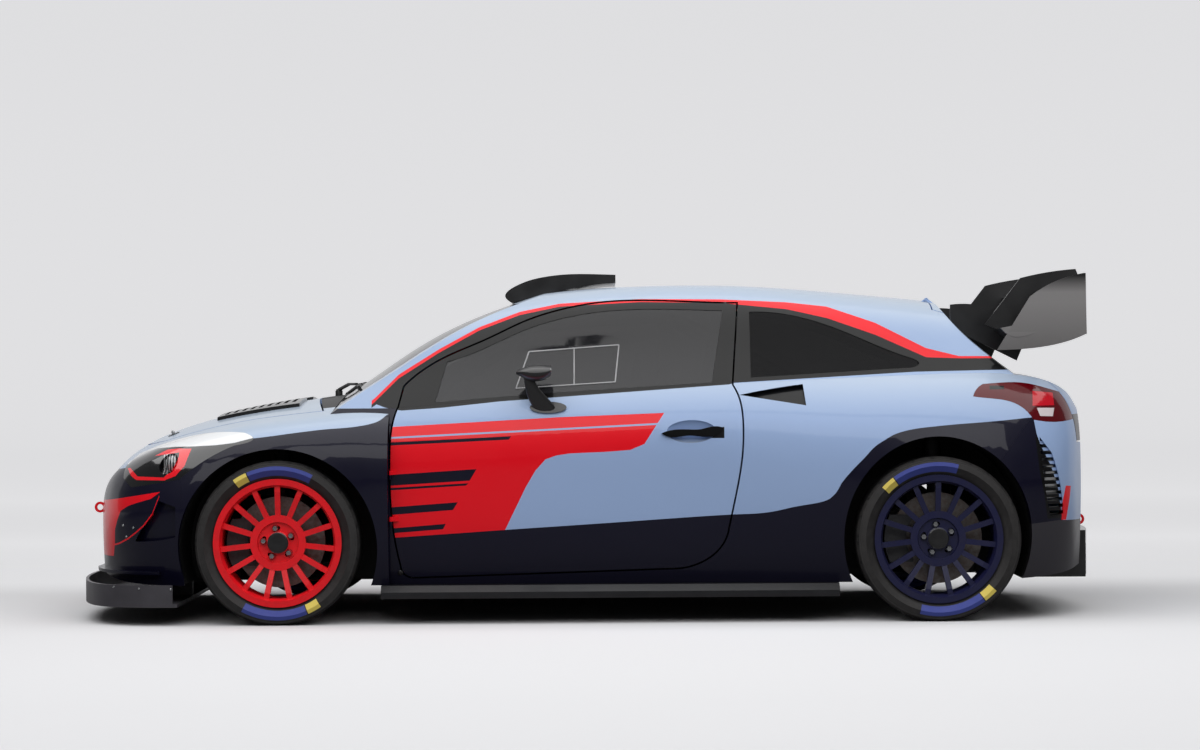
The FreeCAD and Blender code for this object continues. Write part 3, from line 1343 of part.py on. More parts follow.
def hub_carrier(x):
    """The ring that holds the left hub, its arm to the strut and the brake caliper."""
    centre = xyz(x, wheel_y, tyre_radius)
    low = knuckle_offset
    high = knuckle_offset + knuckle_length
    bore = spindle_radius + pin_gap
    housing = ring([(bore, low), (knuckle_radius, low), (knuckle_radius, high), (bore, high)], centre)
    mid_y = wheel_y + (low + high) / 2
    lower = rod(xyz(x, mid_y, tyre_radius - knuckle_radius * 0.8), xyz(x, steer_low_y, steer_low_z), arm_thickness * 0.8)
    strut_foot = steer_point(tyre_radius + knuckle_radius * 1.7)
    upper = rod(xyz(x, mid_y, tyre_radius + knuckle_radius * 0.7), xyz(x, strut_foot.y, strut_foot.z), strut_radius * 0.7)
    room = Part.makeCylinder(bore, width, xyz(x, 0, tyre_radius), xyz(0, 1, 0))
    caliper_outer = barrel_radius - barrel_thickness - 2 * moving_gap
    caliper_inner = disc_radius * 0.68
    disc_low = disc_offset - disc_thickness / 2 - moving_gap
    disc_high = disc_offset + disc_thickness / 2 + moving_gap
    bridge = disc_radius + moving_gap
    cheek = caliper_cheek
    caliper = ring([
        (caliper_inner, disc_low - cheek), (caliper_outer, disc_low - cheek), (caliper_outer, disc_high + cheek),
        (caliper_inner, disc_high + cheek), (caliper_inner, disc_high), (bridge, disc_high),
        (bridge, disc_low), (caliper_inner, disc_low)], centre)
    reach = caliper_outer + overrun
    wedge = caliper_outer * 0.45
    keep = side_prism([
        [(x + wedge, tyre_radius - wedge), (x + reach, tyre_radius - wedge)],
        [(x + reach, tyre_radius - wedge), (x + reach, tyre_radius + wedge)],
        [(x + reach, tyre_radius + wedge), (x + wedge, tyre_radius + wedge)],
        [(x + wedge, tyre_radius + wedge), (x + wedge, tyre_radius - wedge)]], 0, width)
    caliper = caliper.common(keep)
    bracket = box(x + knuckle_radius * 0.8, x + caliper_inner + cheek * 2, wheel_y + low, wheel_y + disc_low,
                  tyre_radius - cheek, tyre_radius + cheek)
    below = box(x - half_width, x + half_width, 0, width, 0, steer_low_z + ball_radius * 0.2)
    socket = Part.makeSphere(ball_radius + pin_gap, xyz(x, steer_low_y, steer_low_z))
    shape = housing.fuse([lower, upper]).cut(room)
    return shape.fuse([bracket, caliper]).cut(below).cut(socket)


def strut(x, foot, head):
    """A damper with its spring round the upper half."""
    along = head.sub(foot)
    spring_start = foot.add(xyz(along.x * 0.45, along.y * 0.45, along.z * 0.45))
    spring_end = foot.add(xyz(along.x * 0.95, along.y * 0.95, along.z * 0.95))
    return rod(foot, head, strut_radius).fuse(rod(spring_start, spring_end, spring_radius))


def front_knuckle():
    """The left knuckle, which steers, with its strut."""
    foot = steer_point(tyre_radius + knuckle_radius * 1.2)
    return hub_carrier(front_axle_x).fuse(strut(front_axle_x, foot, steer_point(steer_high_z)))


def rear_suspension():
    """Crossmember, arms, hub carriers and struts at the rear."""
    x = rear_axle_x
    low = floor_height + guard_thickness
    shape = crossmember(x, low, low + crossmember_height * 0.7)
    towers = []
    for side in (-1, 1):
        y = side * rail_y
        for end in (-1, 1):
            tower_x = x + end * arm_half_span
            towers.append(box(tower_x - rail_width / 2, tower_x + rail_width / 2,
                              y - rail_width / 2, y + rail_width / 2, low, rear_floor_height - seat_gap))
    arm = wishbone(x, steer_low_z - arm_thickness * 1.5)
    pin_low = xyz(x, steer_low_y, steer_low_z - arm_thickness)
    pin = rod(pin_low, pin_low.add(xyz(0, 0, 2 * arm_thickness)), arm_thickness / 2)
    foot = xyz(x, steer_point(tyre_radius + knuckle_radius * 1.2).y, tyre_radius + knuckle_radius * 1.2)
    head_z = tyre_radius + rear_arch_rise + rear_arch_height - seat_gap - strut_radius * 0.5
    head = xyz(x, steer_high_y, head_z)
    left = hub_carrier(x).fuse([strut(x, foot, head), arm, pin])
    return shape.fuse(towers + [left, mirrored(left)])


def drivetrain():
    """Propshaft, rear differential and the rear half shafts."""
    low = floor_height + guard_thickness + crossmember_height * 0.7 + seat_gap
    x = rear_axle_x
    half = differential_half
    case = box(x - half, x + half, -half, half, low, rear_floor_height - overrun)
    prop_end = engine_rear_x - gearbox_length - seat_gap
    prop = rod(xyz(x + half, 0, propshaft_z), xyz(prop_end, 0, propshaft_z), propshaft_radius)
    inner_end = wheel_y + knuckle_offset - moving_gap - overrun
    shaft = rod(xyz(x, -inner_end, tyre_radius), xyz(x, inner_end, tyre_radius), shaft_radius)
    joint = rod(xyz(x, inner_end - 2 * joint_radius, tyre_radius), xyz(x, inner_end, tyre_radius), joint_radius)
    return case.fuse([prop, shaft, joint, mirrored(joint)])


def front_driveshaft():
    """The left front half shaft, from the engine to its outer joint."""
    start = rail_y - rail_width / 2
    end = wheel_y + knuckle_offset - moving_gap - overrun
    x = front_axle_x
    shaft = rod(xyz(x, start, tyre_radius), xyz(x, end, tyre_radius), shaft_radius)
    return shaft.fuse(rod(xyz(x, end - 2 * joint_radius, tyre_radius), xyz(x, end, tyre_radius), joint_radius))


# Wheels

def wheel(x):
    """A rim with fifteen spokes, a dished hub and five bolt holes."""
    centre = xyz(x, wheel_y, tyre_radius)
    outer = rim_half_width
    lip = rim_radius
    barrel = barrel_radius
    inside = barrel - barrel_thickness
    flange = barrel_thickness
    rim = ring([
        (lip, outer), (lip, outer - flange), (barrel + flange, outer - 2 * flange), (barrel, outer - 4 * flange),
        (barrel, 4 * flange - outer), (barrel + flange, 2 * flange - outer), (lip, flange - outer), (lip, -outer),
        (barrel, -outer), (inside, 2 * flange - outer), (inside, outer - 3 * flange), (barrel, outer)], centre)
    face = hub_face_offset
    hub_depth = rim_half_width * 0.34
    dish = rim_half_width * 0.14
    disc = hub_disc_radius
    nut_room = face + dish
    floor_offset = face + hub_depth - dish
    hub = ring([
        (0, nut_room), (cap_radius * 0.75, nut_room), (cap_radius * 0.75, face), (disc, face),
        (disc, face + hub_depth), (disc * 0.75, face + hub_depth), (disc * 0.72, floor_offset),
        (cap_radius, floor_offset), (cap_radius, face + hub_depth), (cap_radius * 0.6, face + hub_depth + dish * 0.4),
        (0, face + hub_depth + dish * 0.5)], centre)
    spokes = []
    for i in range(spoke_count):
        tip = barrel - flange * 0.35
        profile = [
            (disc * 0.8, face + flange * 0.3), (disc * 0.8, floor_offset - flange * 0.1),
            (disc * 0.97, face + hub_depth * 0.93), (barrel * 0.88, outer - flange * 1.3), (tip, outer - flange * 1.5),
            (tip, outer - flange * 4.2), (barrel * 0.7, face + dish), (disc, face + flange * 0.6)]
        points = [xyz(centre.x - spoke_width / 2, centre.y + offset, centre.z + radius) for radius, offset in profile]
        blade = Part.Face(Part.makePolygon(points + [points[0]])).extrude(xyz(spoke_width, 0, 0))
        blade.rotate(centre, xyz(0, 1, 0), i * 360 / spoke_count)
        spokes.append(blade)
    shape = rim.fuse([hub] + spokes)
    return shape.cut(bolt_holes(centre, face, face + hub_depth))


def tyre(x):
    """A hollow tyre, open towards the rim."""
    centre = xyz(x, wheel_y, tyre_radius)
    bulge = tyre_width / 2
    bead = barrel_radius + barrel_thickness + seat_gap
    seat = rim_half_width - 2 * barrel_thickness - seat_gap
    crown = tyre_radius
    side_r = crown - (crown - bead) * 0.42
    shoulder_r = crown - (crown - bead) * 0.10
    tread = bulge * 0.80
    wall = tyre_wall
    return ring([
        (bead, seat), (bead + wall, seat + wall * 0.4), (side_r, bulge), (shoulder_r, bulge * 0.94), (crown, tread),
        (crown, -tread), (shoulder_r, -bulge * 0.94), (side_r, -bulge), (bead + wall, -seat - wall * 0.4),
        (bead, -seat), (bead, -seat + wall), (bead + wall, -seat + wall * 0.6), (side_r, wall - bulge),
        (crown - wall, wall - tread), (crown - wall, tread - wall), (side_r, bulge - wall),
        (bead + wall, seat - wall * 0.6), (bead, seat - wall)], centre)


def brake_disc(x):
    """The disc with its bell, the hub flange and the spindle in the carrier."""
    centre = xyz(x, wheel_y, tyre_radius)
    low = disc_offset - disc_thickness / 2
    high = disc_offset + disc_thickness / 2
    face = hub_face_offset - seat_gap
    flange = face - overrun
    bell = hub_radius + bell_wall
    shape = ring([
        (0, face), (bell, face), (bell, high), (disc_radius, high), (disc_radius, low),
        (hub_radius, low), (hub_radius, flange), (spindle_radius, flange),
        (spindle_radius, knuckle_offset - moving_gap), (0, knuckle_offset - moving_gap)], centre)
    return shape.cut(bolt_holes(centre, flange, face))


def bolt_holes(centre, low, high):
    """The ring of wheel bolt holes between two offsets from the wheel's middle plane."""
    holes = []
    for i in range(bolt_count):
        angle = 2 * math.pi * i / bolt_count
        x = centre.x + bolt_circle / 2 * math.sin(angle)
        z = centre.z + bolt_circle / 2 * math.cos(angle)
        start = xyz(x, centre.y + low - overrun, z)
        holes.append(Part.makeCylinder(bolt_hole / 2, high - low + 2 * overrun, start, xyz(0, 1, 0)))
    return Part.makeCompound(holes)


# Add-on body pieces


def front_splitter():
    """A flat tray with an upright rim, on two walls under the guard."""
    half = plan_points([SPLITTER_SHARES])
    rear_x = half[0][0][0]
    runs = whole([[(rear_x, 0), half[0][0]]] + half, flipped)
    plate = plan_prism(runs, splitter_bottom, splitter_bottom + splitter_thickness)
    rim = plan_prism(runs, splitter_bottom, splitter_top).cut(
        plan_prism(grown(runs, -splitter_wall), splitter_bottom, splitter_top + overrun))
    open_rear = box(0, rear_x + splitter_wall * 1.5, -width, width, splitter_bottom + splitter_thickness, roof_height)
    walls = []
    for side in (-1, 1):
        y = side * rail_y
        walls.append(box(rear_x, guard_front_x, y - splitter_wall / 2, y + splitter_wall / 2,
                         splitter_bottom, floor_height - seat_gap))
    return plate.fuse(rim.cut(open_rear)).fuse(walls)


def side_skirt():
    """A sharp-edged strip under the left sill."""
    top = floor_height
    outline = [
        [(skirt_inner_y, top), (skirt_outer_y * 0.97, top)],
        [(skirt_outer_y * 0.97, top), (skirt_outer_y, top - (top - skirt_bottom) * 0.5)],
        [(skirt_outer_y, top - (top - skirt_bottom) * 0.5), (skirt_outer_y, skirt_bottom)],
        [(skirt_outer_y, skirt_bottom), (skirt_inner_y, skirt_bottom)],
        [(skirt_inner_y, skirt_bottom), (skirt_inner_y, top)]]
    return end_prism(outline, skirt_rear_x, skirt_front_x)


def diffuser():
    """The tray under the tail, with upright fins."""
    half = plan_points(DIFFUSER_SHARES)
    front_x = half[0][0][0]
    runs = whole([[(front_x, 0), half[0][0]]] + half, flipped)
    shape = plan_prism(runs, diffuser_bottom, diffuser_top)
    shape = shape.cut(body_hull(LOWER_STATION_SHARES, -seat_gap, -seat_gap, -seat_gap * 2, -seat_gap))
    span = 2 * (half[0][0][1] - diffuser_fin)
    pitch = span / diffuser_channels
    for i in range(diffuser_channels):
        y = -span / 2 + pitch * i
        top = diffuser_top - 3 * diffuser_fin
        channel = side_prism([
            [(front_x + overrun, diffuser_bottom - overrun), (front_x - overrun, diffuser_bottom + diffuser_fin)],
            [(front_x - overrun, diffuser_bottom + diffuser_fin), (-half_length, top)],
            [(-half_length, top), (-half_length, diffuser_bottom - overrun)],
            [(-half_length, diffuser_bottom - overrun), (front_x + overrun, diffuser_bottom - overrun)]],
            y + diffuser_fin / 2, y + pitch - diffuser_fin / 2)
        shape = shape.cut(channel)
    return main_solids(shape)


def tow_slot(z):
    """The slots in both bumpers that a tow eye passes through."""
    half = tow_eye_radius * 0.6 + moving_gap
    side = tow_eye_thickness / 2 + moving_gap
    return box(-half_length, half_length, tow_eye_y - side, tow_eye_y + side, z - half, z + half)


def front_tow_z():
    return rail_bottom + rail_height / 2


def rear_tow_z():
    return rear_floor_height + floor_thickness / 2


def tow_eye(tip_x, root_x, tow_eye_z):
    """A flat eye on a bar that reaches back to the crash beam."""
    inward = math.copysign(tow_eye_radius, root_x - tip_x)
    centre = xyz(tip_x + inward, tow_eye_y - tow_eye_thickness / 2, tow_eye_z)
    eye = Part.makeCylinder(tow_eye_radius, tow_eye_thickness, centre, xyz(0, 1, 0))
    low_x = min(centre.x, root_x)
    high_x = max(centre.x, root_x)
    half = tow_eye_radius * 0.6
    bar = box(low_x, high_x, centre.y, centre.y + tow_eye_thickness, tow_eye_z - half, tow_eye_z + half)
    hole = Part.makeCylinder(tow_eye_hole, width, xyz(centre.x, -half_width, centre.z), xyz(0, 1, 0))
    return eye.fuse(bar).cut(hole)


def roof_scoop(body):
    """The air intake on the roof, open at its front edge."""
    shape = side_prism(side_points(SCOOP_SHARES), -scoop_half_width, scoop_half_width)
    low, high = [share * roof_height for share in SCOOP_MOUTH_SHARES]
    mouth = box(0, half_length, scoop_wall - scoop_half_width, scoop_half_width - scoop_wall, low, high)
    return main_solids(shape.cut(body.seat_cabin).cut(mouth))


def rear_wing(body):
    """Two planes between outer plates, with inner plates and mounts on the tailgate."""
    outer = wing_outer_y
    main_plane = side_prism(side_points(WING_PLANE_SHARES), -outer, outer)
    flap = side_prism(side_points(WING_FLAP_SHARES), -flap_outer_y, flap_outer_y)
    flare = [(y * half_width, z * roof_height) for y, z in WING_FLARE_SHARES]
    inner_flare = [(y - wing_plate, z) for y, z in reversed(flare)]
    strip = end_prism([flare, [flare[-1], inner_flare[0]], inner_flare, [inner_flare[-1], flare[0]]], -half_length, 0)
    end_plate = side_prism(side_points(WING_OUTER_PLATE_SHARES), 0, width).common(strip)
    plates = [end_plate, mirrored(end_plate)]
    for side in (-1, 1):
        y = side * wing_inner_y
        plates.append(side_prism(side_points(WING_INNER_PLATE_SHARES), y - wing_plate / 2, y + wing_plate / 2))
        y = side * mount_y
        mount = side_prism(side_points(WING_MOUNT_SHARES), y - wing_plate / 2, y + wing_plate / 2)
        plates.append(mount.cut(body.seat_hull))
    return main_solids(main_plane.fuse([flap] + plates))


def mirror(body):
    """The left door mirror: an oval foot on the door, a curved stalk and a tapered head."""
    x, z, half_x, half_z = MIRROR_FOOT_SHARES
    half_x, half_z = half_x * half_length, half_z * roof_height
    middle = place(x, 0, z)
    face = Part.Face(Part.Wire(Part.Ellipse(
        middle.add(xyz(half_x, 0, 0)), middle.add(xyz(0, 0, half_z)), middle).toShape()))
    reach = -mirror_foot_thickness
    foot = face.extrude(xyz(0, width, 0)).common(body_hull(LOWER_STATION_SHARES, reach, reach, 0, 0))
    stalk = []
    for z, x, y, half_x, half_y in MIRROR_STALK_SHARES:
        stalk.append(level_oval(x * half_length, y * half_width, z * roof_height, half_x * half_length,
                                half_y * half_width))
    head = []
    for x, y, z, half_y, half_z in MIRROR_HEAD_SHARES:
        head.append(upright_oval(x * half_length, y * half_width, z * roof_height, half_y * half_width,
                                 half_z * roof_height))
    arm = Part.makeLoft(stalk, True, False)
    shell = Part.makeLoft(head, True, False)
    return main_solids(foot.fuse([arm, shell]).cut(body.seat_hull))


# Cabin


def roll_cage():
    """Two hoops, roof bars, rear stays and crossed door bars."""
    main_half = [place(*share) for share in CAGE_MAIN_SHARES]
    front_half = [place(*share) for share in CAGE_FRONT_SHARES]
    stay = [place(*share) for share in CAGE_STAY_SHARES]
    shapes = []
    for half in (main_half, front_half):
        shapes.append(tube(half + [xyz(point.x, -point.y, point.z) for point in reversed(half)], cage_radius))
    low_front = front_half[0].add(xyz(0, 0, 3 * cage_radius))
    low_main = main_half[0].add(xyz(0, 0, 3 * cage_radius))
    high_front = front_half[1].add(xyz(0, 0, -6 * cage_radius))
    high_main = main_half[1].add(xyz(0, 0, -6 * cage_radius))
    left_bars = [
        rod(main_half[2], front_half[2], cage_radius), tube(stay, cage_radius),
        rod(low_front, high_main, cage_radius), rod(low_main, high_front, cage_radius)]
    cage = shapes[0].fuse(shapes[1:] + left_bars + [mirrored(bar) for bar in left_bars])
    rear_top = rear_floor_height + floor_thickness + seat_gap
    front_top = floor_height + floor_thickness + seat_gap
    cage = cage.cut(box(floor_step_x, half_length, -width, width, 0, front_top))
    return cage.cut(box(-half_length, floor_step_x, -width, width, 0, rear_top))


def seat():
    """The left bucket seat on two floor rails."""
    shell = side_prism(side_points(SEAT_SIDE_SHARES), seat_y - seat_half_width, seat_y + seat_half_width)
    hollow = side_prism(side_points(SEAT_HOLLOW_SHARES), seat_y - seat_hollow_half, seat_y + seat_hollow_half)
    shell = shell.cut(hollow)
    rails = []
    low = floor_height + floor_thickness + seat_gap
    x_low = SEAT_SIDE_SHARES[4][2][0] * half_length
    x_high = SEAT_SIDE_SHARES[0][0][0] * half_length
    z_high = SEAT_SIDE_SHARES[0][0][1] * roof_height + seat_gap
    for side in (-1, 1):
        y = seat_y + side * seat_hollow_half
        rails.append(box(x_low, x_high, y - seat_rail_half, y + seat_rail_half, low, z_high))
    return shell.fuse(rails)


def dashboard():
    """The panel behind the bulkhead."""
    return side_prism(side_points(DASH_SHARES), -dash_half_width, dash_half_width)


def steering_wheel():
    """The driver's wheel on its column."""
    hub = place(*STEERING_HUB_SHARES)
    column_end = place(*STEERING_COLUMN_END_SHARES)
    axis = hub.sub(column_end)
    grip = Part.makeTorus(wheel_ring_radius, wheel_grip_radius, hub, axis)
    column = rod(column_end, hub, wheel_grip_radius * 1.2)
    column = column.cut(side_prism(grown(side_points(DASH_SHARES), seat_gap), -dash_half_width, dash_half_width))
    bars = []
    for i in range(3):
        spoke = rod(hub, hub.add(xyz(0, wheel_ring_radius, 0)), wheel_grip_radius * 0.7)
        spoke.rotate(hub, axis, i * 120)
        bars.append(spoke)
    return grip.fuse([column] + bars)


def save(node, shape):
    """Writes one node's solids, and says what they are."""
    shape.exportStep(os.path.join("parts", node + ".step"))
    solids = shape.Solids
    volume = sum(solid.Volume for solid in solids)
    print(node, len(solids), "solids", round(volume), shape.isValid())


def save_sides(name, shape):
    """Writes a left piece and its mirror image as two nodes."""
    save(name + "_left", shape)
    save(name + "_right", mirrored(shape))


def main():
    os.makedirs("parts", exist_ok=True)
    body = Body()
    save_sides("body_side", body.body_side())
    save_sides("door", body.door())
    save_sides("door_glass", body.door_glass())
    save_sides("mirror", mirror(body))
    save("quarter_windows", pair(body.quarter_glass()))
    save("roof", body.roof())
    save("roof_scoop", roof_scoop(body))
    save("windscreen", body.windscreen())
    save("cowl", body.cowl())
    save("tailgate", body.tailgate())
    save("rear_window", body.rear_window())
    save("rear_wing", rear_wing(body))
    save("front_fenders", pair(body.front_fender()))
    save("bonnet", body.bonnet())
    save("bonnet_vents", pair(body.bonnet_vent()))
    save("front_bumper", body.front_bumper())
    save("grille", body.grille())
    save("headlamps", pair(body.headlamp()))
    save("tail_lamps", pair(body.tail_lamp()))
    save("rear_bumper", body.rear_bumper())
    save("diffuser", diffuser())
    save("front_splitter", front_splitter())
    save("side_skirts", pair(side_skirt()))
    save("floor_pan", floor_pan())
    save("wheelhouses", wheelhouses())
    front_eye = tow_eye(tow_eye_front_tip, guard_front_x + seat_gap, front_tow_z())
    rear_eye = tow_eye(tow_eye_rear_tip, rear_floor_x - seat_gap, rear_tow_z())
    save("tow_eyes", Part.makeCompound([front_eye, rear_eye]))
    save("engine", engine())
    save("front_subframe", front_subframe())
    save("rear_suspension", rear_suspension())
    save("drivetrain", drivetrain())
    save("front_driveshafts", pair(front_driveshaft()))
    save("roll_cage", roll_cage())
    save("seats", pair(seat()))
    save("dashboard", dashboard())
    save("steering_wheel", steering_wheel())
    save_sides("front_knuckle", front_knuckle())
    for end, x in (("front", front_axle_x), ("rear", rear_axle_x)):
        save_sides("wheel_" + end, wheel(x))
        save_sides("tyre_" + end, tyre(x))
        save_sides("brake_disc_" + end, brake_disc(x))


main()
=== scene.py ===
"""Looks of the rally car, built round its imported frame, in metres: +X forwards, +Y to its left, +Z up."""
import math
import bmesh
import bpy
from mathutils import Matrix, Vector


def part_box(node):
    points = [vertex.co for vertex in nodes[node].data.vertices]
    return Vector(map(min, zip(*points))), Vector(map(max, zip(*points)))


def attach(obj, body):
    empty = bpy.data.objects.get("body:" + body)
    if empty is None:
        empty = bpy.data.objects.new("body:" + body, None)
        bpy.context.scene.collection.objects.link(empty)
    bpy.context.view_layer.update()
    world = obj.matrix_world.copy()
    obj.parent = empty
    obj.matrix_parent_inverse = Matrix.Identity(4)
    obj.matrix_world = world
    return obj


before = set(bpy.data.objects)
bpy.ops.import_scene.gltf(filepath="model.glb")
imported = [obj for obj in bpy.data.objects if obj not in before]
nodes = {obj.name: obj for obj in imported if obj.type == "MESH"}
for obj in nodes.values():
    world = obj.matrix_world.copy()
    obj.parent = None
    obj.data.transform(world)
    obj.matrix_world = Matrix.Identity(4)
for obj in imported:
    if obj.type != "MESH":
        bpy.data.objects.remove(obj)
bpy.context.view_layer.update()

# Places taken from the frame
front_axle = (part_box("tyre_front_left")[0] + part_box("tyre_front_left")[1]) / 2
rear_axle = (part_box("tyre_rear_left")[0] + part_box("tyre_rear_left")[1]) / 2
SIDES = (("left", 1), ("right", -1))
ENDS = (("front", front_axle), ("rear", rear_axle))
CORNERS = [end + "_" + side_name for end, axle in ENDS for side_name, side in SIDES]


# Colours

def colour(red, green, blue):
    """A linear colour from the three usual 0 to 255 values."""
    channels = []
    for value in (red, green, blue):
        share = value / 255
        channels.append(share / 12.92 if share <= 0.04045 else ((share + 0.055) / 1.055) ** 2.4)
    return (*channels, 1)


sky_blue = colour(156, 180, 220)
# The paler blue of up-facing panels is a painted reflection
painted_reflection_blue = colour(168, 181, 197)
racing_red = colour(240, 14, 32)
navy = colour(14, 13, 34)
gloss_black = colour(10, 10, 12)
band_black = colour(3, 3, 4)
satin_black = colour(20, 20, 22)
# Colour of the painted highlight on the wing's end plates
painted_plate_highlight = colour(146, 144, 144)
charcoal = colour(58, 56, 62)
trim_black = colour(15, 15, 16)
rubber = colour(30, 28, 28)
scuffed_rubber = colour(42, 40, 40)
silver = colour(196, 198, 200)
steel = colour(128, 126, 124)
heated_steel = colour(104, 84, 78)
dull_metal = colour(70, 70, 72)
brake_dust = colour(34, 26, 26)
label_blue = colour(56, 68, 146)
label_yellow = colour(226, 204, 96)
lamp_silver = colour(226, 228, 230)
bowl_black = colour(12, 13, 16)
lens_dark = colour(24, 25, 28)
lens_pale = colour(176, 178, 180)
tail_red = colour(88, 4, 14)
tail_bright = colour(196, 14, 34)
tail_clear = colour(216, 206, 208)
fabric_dark = colour(18, 18, 20)
fabric_pale = colour(40, 40, 44)
pale_paper = colour(232, 232, 234)
floor_shade = colour(220, 220, 222)
near_shade = colour(212, 212, 214)
hidden_shade = colour(130, 130, 131)
hidden_cloud = colour(124, 124, 125)

# Livery outlines in the side view, as (x, z) points. The field, lines and bars on the door first.
RED_TOP = [(0.790, 0.766), (0.098, 0.802), (-0.307, 0.816)]
RED_BOTTOM = [(0.790, 0.333), (0.747, 0.336), (0.300, 0.365)]
RED_REAR = [
    (0.364, 0.316), (0.411, 0.293), (0.531, 0.234), (0.595, 0.196), (0.638, 0.157), (0.653, 0.115),
    (0.661, 0.060), (0.666, -0.080), (0.673, -0.174), (0.696, -0.229), (0.769, -0.276), (0.816, -0.307),
]
PALE_LINE = [(0.790, 0.728), (0.753, 0.729), (0.098, 0.759), (-0.307, 0.778)]
pale_line_width = 0.007
DOOR_BARS = [
    [(0.800, 0.706), (0.291, 0.729), (0.299, 0.716), (0.800, 0.694)],
    [(0.800, 0.579), (0.426, 0.602), (0.453, 0.557), (0.800, 0.537)],
    [(0.800, 0.528), (0.458, 0.547), (0.467, 0.538), (0.800, 0.519)],
    [(0.800, 0.452), (0.500, 0.473), (0.519, 0.443), (0.800, 0.422)],
    [(0.800, 0.369), (0.548, 0.389), (0.558, 0.368), (0.800, 0.350)],
]

# Upper edge of the navy lower body: along door and rear quarter, and along the front end
NAVY_SIDE = [
    (0.800, 0.333), (0.316, 0.364), (-0.058, 0.387), (-0.568, 0.419), (-0.681, 0.424), (-0.821, 0.450),
    (-0.922, 0.469), (-0.961, 0.492), (-0.996, 0.545), (-1.077, 0.633), (-1.154, 0.702), (-1.255, 0.744),
    (-1.372, 0.759), (-1.608, 0.777), (-1.732, 0.788), (-1.841, 0.795), (-2.050, 0.800),
]
NAVY_FRONT = [
    (2.050, 0.600), (1.820, 0.610), (1.780, 0.640), (1.600, 0.690), (1.440, 0.712), (1.271, 0.730),
    (1.032, 0.759), (0.897, 0.770), (0.823, 0.785), (0.761, 0.823), (0.700, 0.840),
]

# How far a panel faces up where a painted pale reflection starts on its blue, and where it is full
TOP_REFLECTION = (0.3, 0.95)

# The door jamb ahead of the door, and the inside of the air intake behind it
JAMB = [(0.740, 0.140), (0.740, 0.840), (1.100, 0.840), (1.100, 0.140)]
INTAKE = [(-0.600, 0.884), (-0.851, 0.925), (-0.860, 0.842)]

# The door's handle, which lies further out than handle_y, and the front edge that its hinges stand ahead of
HANDLE_X = (-0.540, -0.292)
HANDLE_Z = (0.717, 0.764)
handle_y = 0.8765
door_front = 0.7655

# Red flash on the front bumper with the thin line below it
FLASH_TOP = [(1.656, 0.522), (1.871, 0.487), (2.000, 0.470)]
FLASH_BOTTOM = [
    (1.656, 0.522), (1.693, 0.495), (1.757, 0.477), (1.793, 0.465), (1.828, 0.444), (1.844, 0.408),
    (1.857, 0.370), (1.860, 0.316), (1.870, 0.262), (2.000, 0.255),
]
BUMPER_LINE = [
    (1.660, 0.505), (1.688, 0.436), (1.725, 0.390), (1.759, 0.362), (1.794, 0.337), (1.834, 0.317),
    (1.950, 0.280),
]
bumper_line_half = 0.0035

# Rear bumper as (z, x): the blue corner's front edge and the vent's front edge, then two outlines as (x, z)
CORNER_EDGE = [
    (0.390, -1.867), (0.515, -1.845), (0.599, -1.816), (0.683, -1.773), (0.725, -1.758), (0.810, -1.745),
]
VENT_EDGE = [(0.390, -1.801), (0.493, -1.785), (0.586, -1.766), (0.715, -1.752)]
VENT_Z = (0.394, 0.712)
PANEL_TOP = [(-1.700, 0.372), (-1.847, 0.386), (-1.900, 0.384), (-2.000, 0.380)]
ACCENT = [
    (-1.861, 0.386), (-1.866, 0.462), (-1.880, 0.520), (-1.905, 0.518), (-1.899, 0.470), (-1.883, 0.386),
]

# Front lamp: lower edge of its silver strip, its red trim and its lens, which has pale bars where a wave
# along it stands above the threshold
STRIP_EDGE = [
    (1.280, 0.733), (1.366, 0.711), (1.438, 0.702), (1.530, 0.697), (1.607, 0.695), (1.690, 0.688),
    (1.749, 0.672), (1.790, 0.650), (1.806, 0.625), (1.900, 0.620),
]
LAMP_TRIM = [
    [(1.806, 0.610), (1.793, 0.612), (1.755, 0.580), (1.762, 0.567), (1.786, 0.582)],
    [(1.762, 0.566), (1.637, 0.566), (1.637, 0.577), (1.757, 0.580)],
    [(1.642, 0.566), (1.596, 0.583), (1.611, 0.606), (1.642, 0.579)],
    [(1.596, 0.583), (1.561, 0.622), (1.587, 0.656), (1.612, 0.604)],
    [(1.561, 0.622), (1.538, 0.688), (1.586, 0.688), (1.587, 0.654)],
    [(1.690, 0.659), (1.639, 0.684), (1.580, 0.690), (1.580, 0.675)],
]
LENS = [(1.655, 0.668), (1.594, 0.664), (1.597, 0.603), (1.647, 0.590)]
lens_bars_per_m = 90.0
lens_bar_threshold = 0.1

# Rear lamp: the small dark block, the bright lens and the clear lens, and its ribs in radians per metre
TAIL_BLOCK = [(-1.583, 0.914), (-1.640, 0.913), (-1.640, 0.899), (-1.581, 0.899)]
TAIL_BRIGHT = [(-1.756, 0.892), (-1.843, 0.884), (-1.843, 0.835), (-1.749, 0.834)]
TAIL_CLEAR = [(-1.766, 0.826), (-1.842, 0.825), (-1.832, 0.792), (-1.778, 0.794)]
tail_ribs = 700.0

# Labels on the tyres: radii, then degrees round from the rear on the front tyre, blue and then yellow
LABEL_RADII = (0.262, 0.299)
BLUE_ARC = (62.0, 113.0)
YELLOW_ARC = (113.8, 124.5)
rear_label_turn = 13.0

# Tyre relief: sidewall rings between two radii, a ring groove either side of the tyre's middle, and slanting
# cross grooves on the tread. The rings' rate and the slant are in radians per metre, and the cross grooves'
# rate is in radians per radian round the tyre.
RING_RADII = (0.302, 0.310)
ring_rate = 900.0
RING_GROOVE = (0.030, 0.038)
tread_radius = 0.312
groove_slant = 30.0
groove_rate = 26.0
groove_threshold = 0.86
scuff_share = 0.5
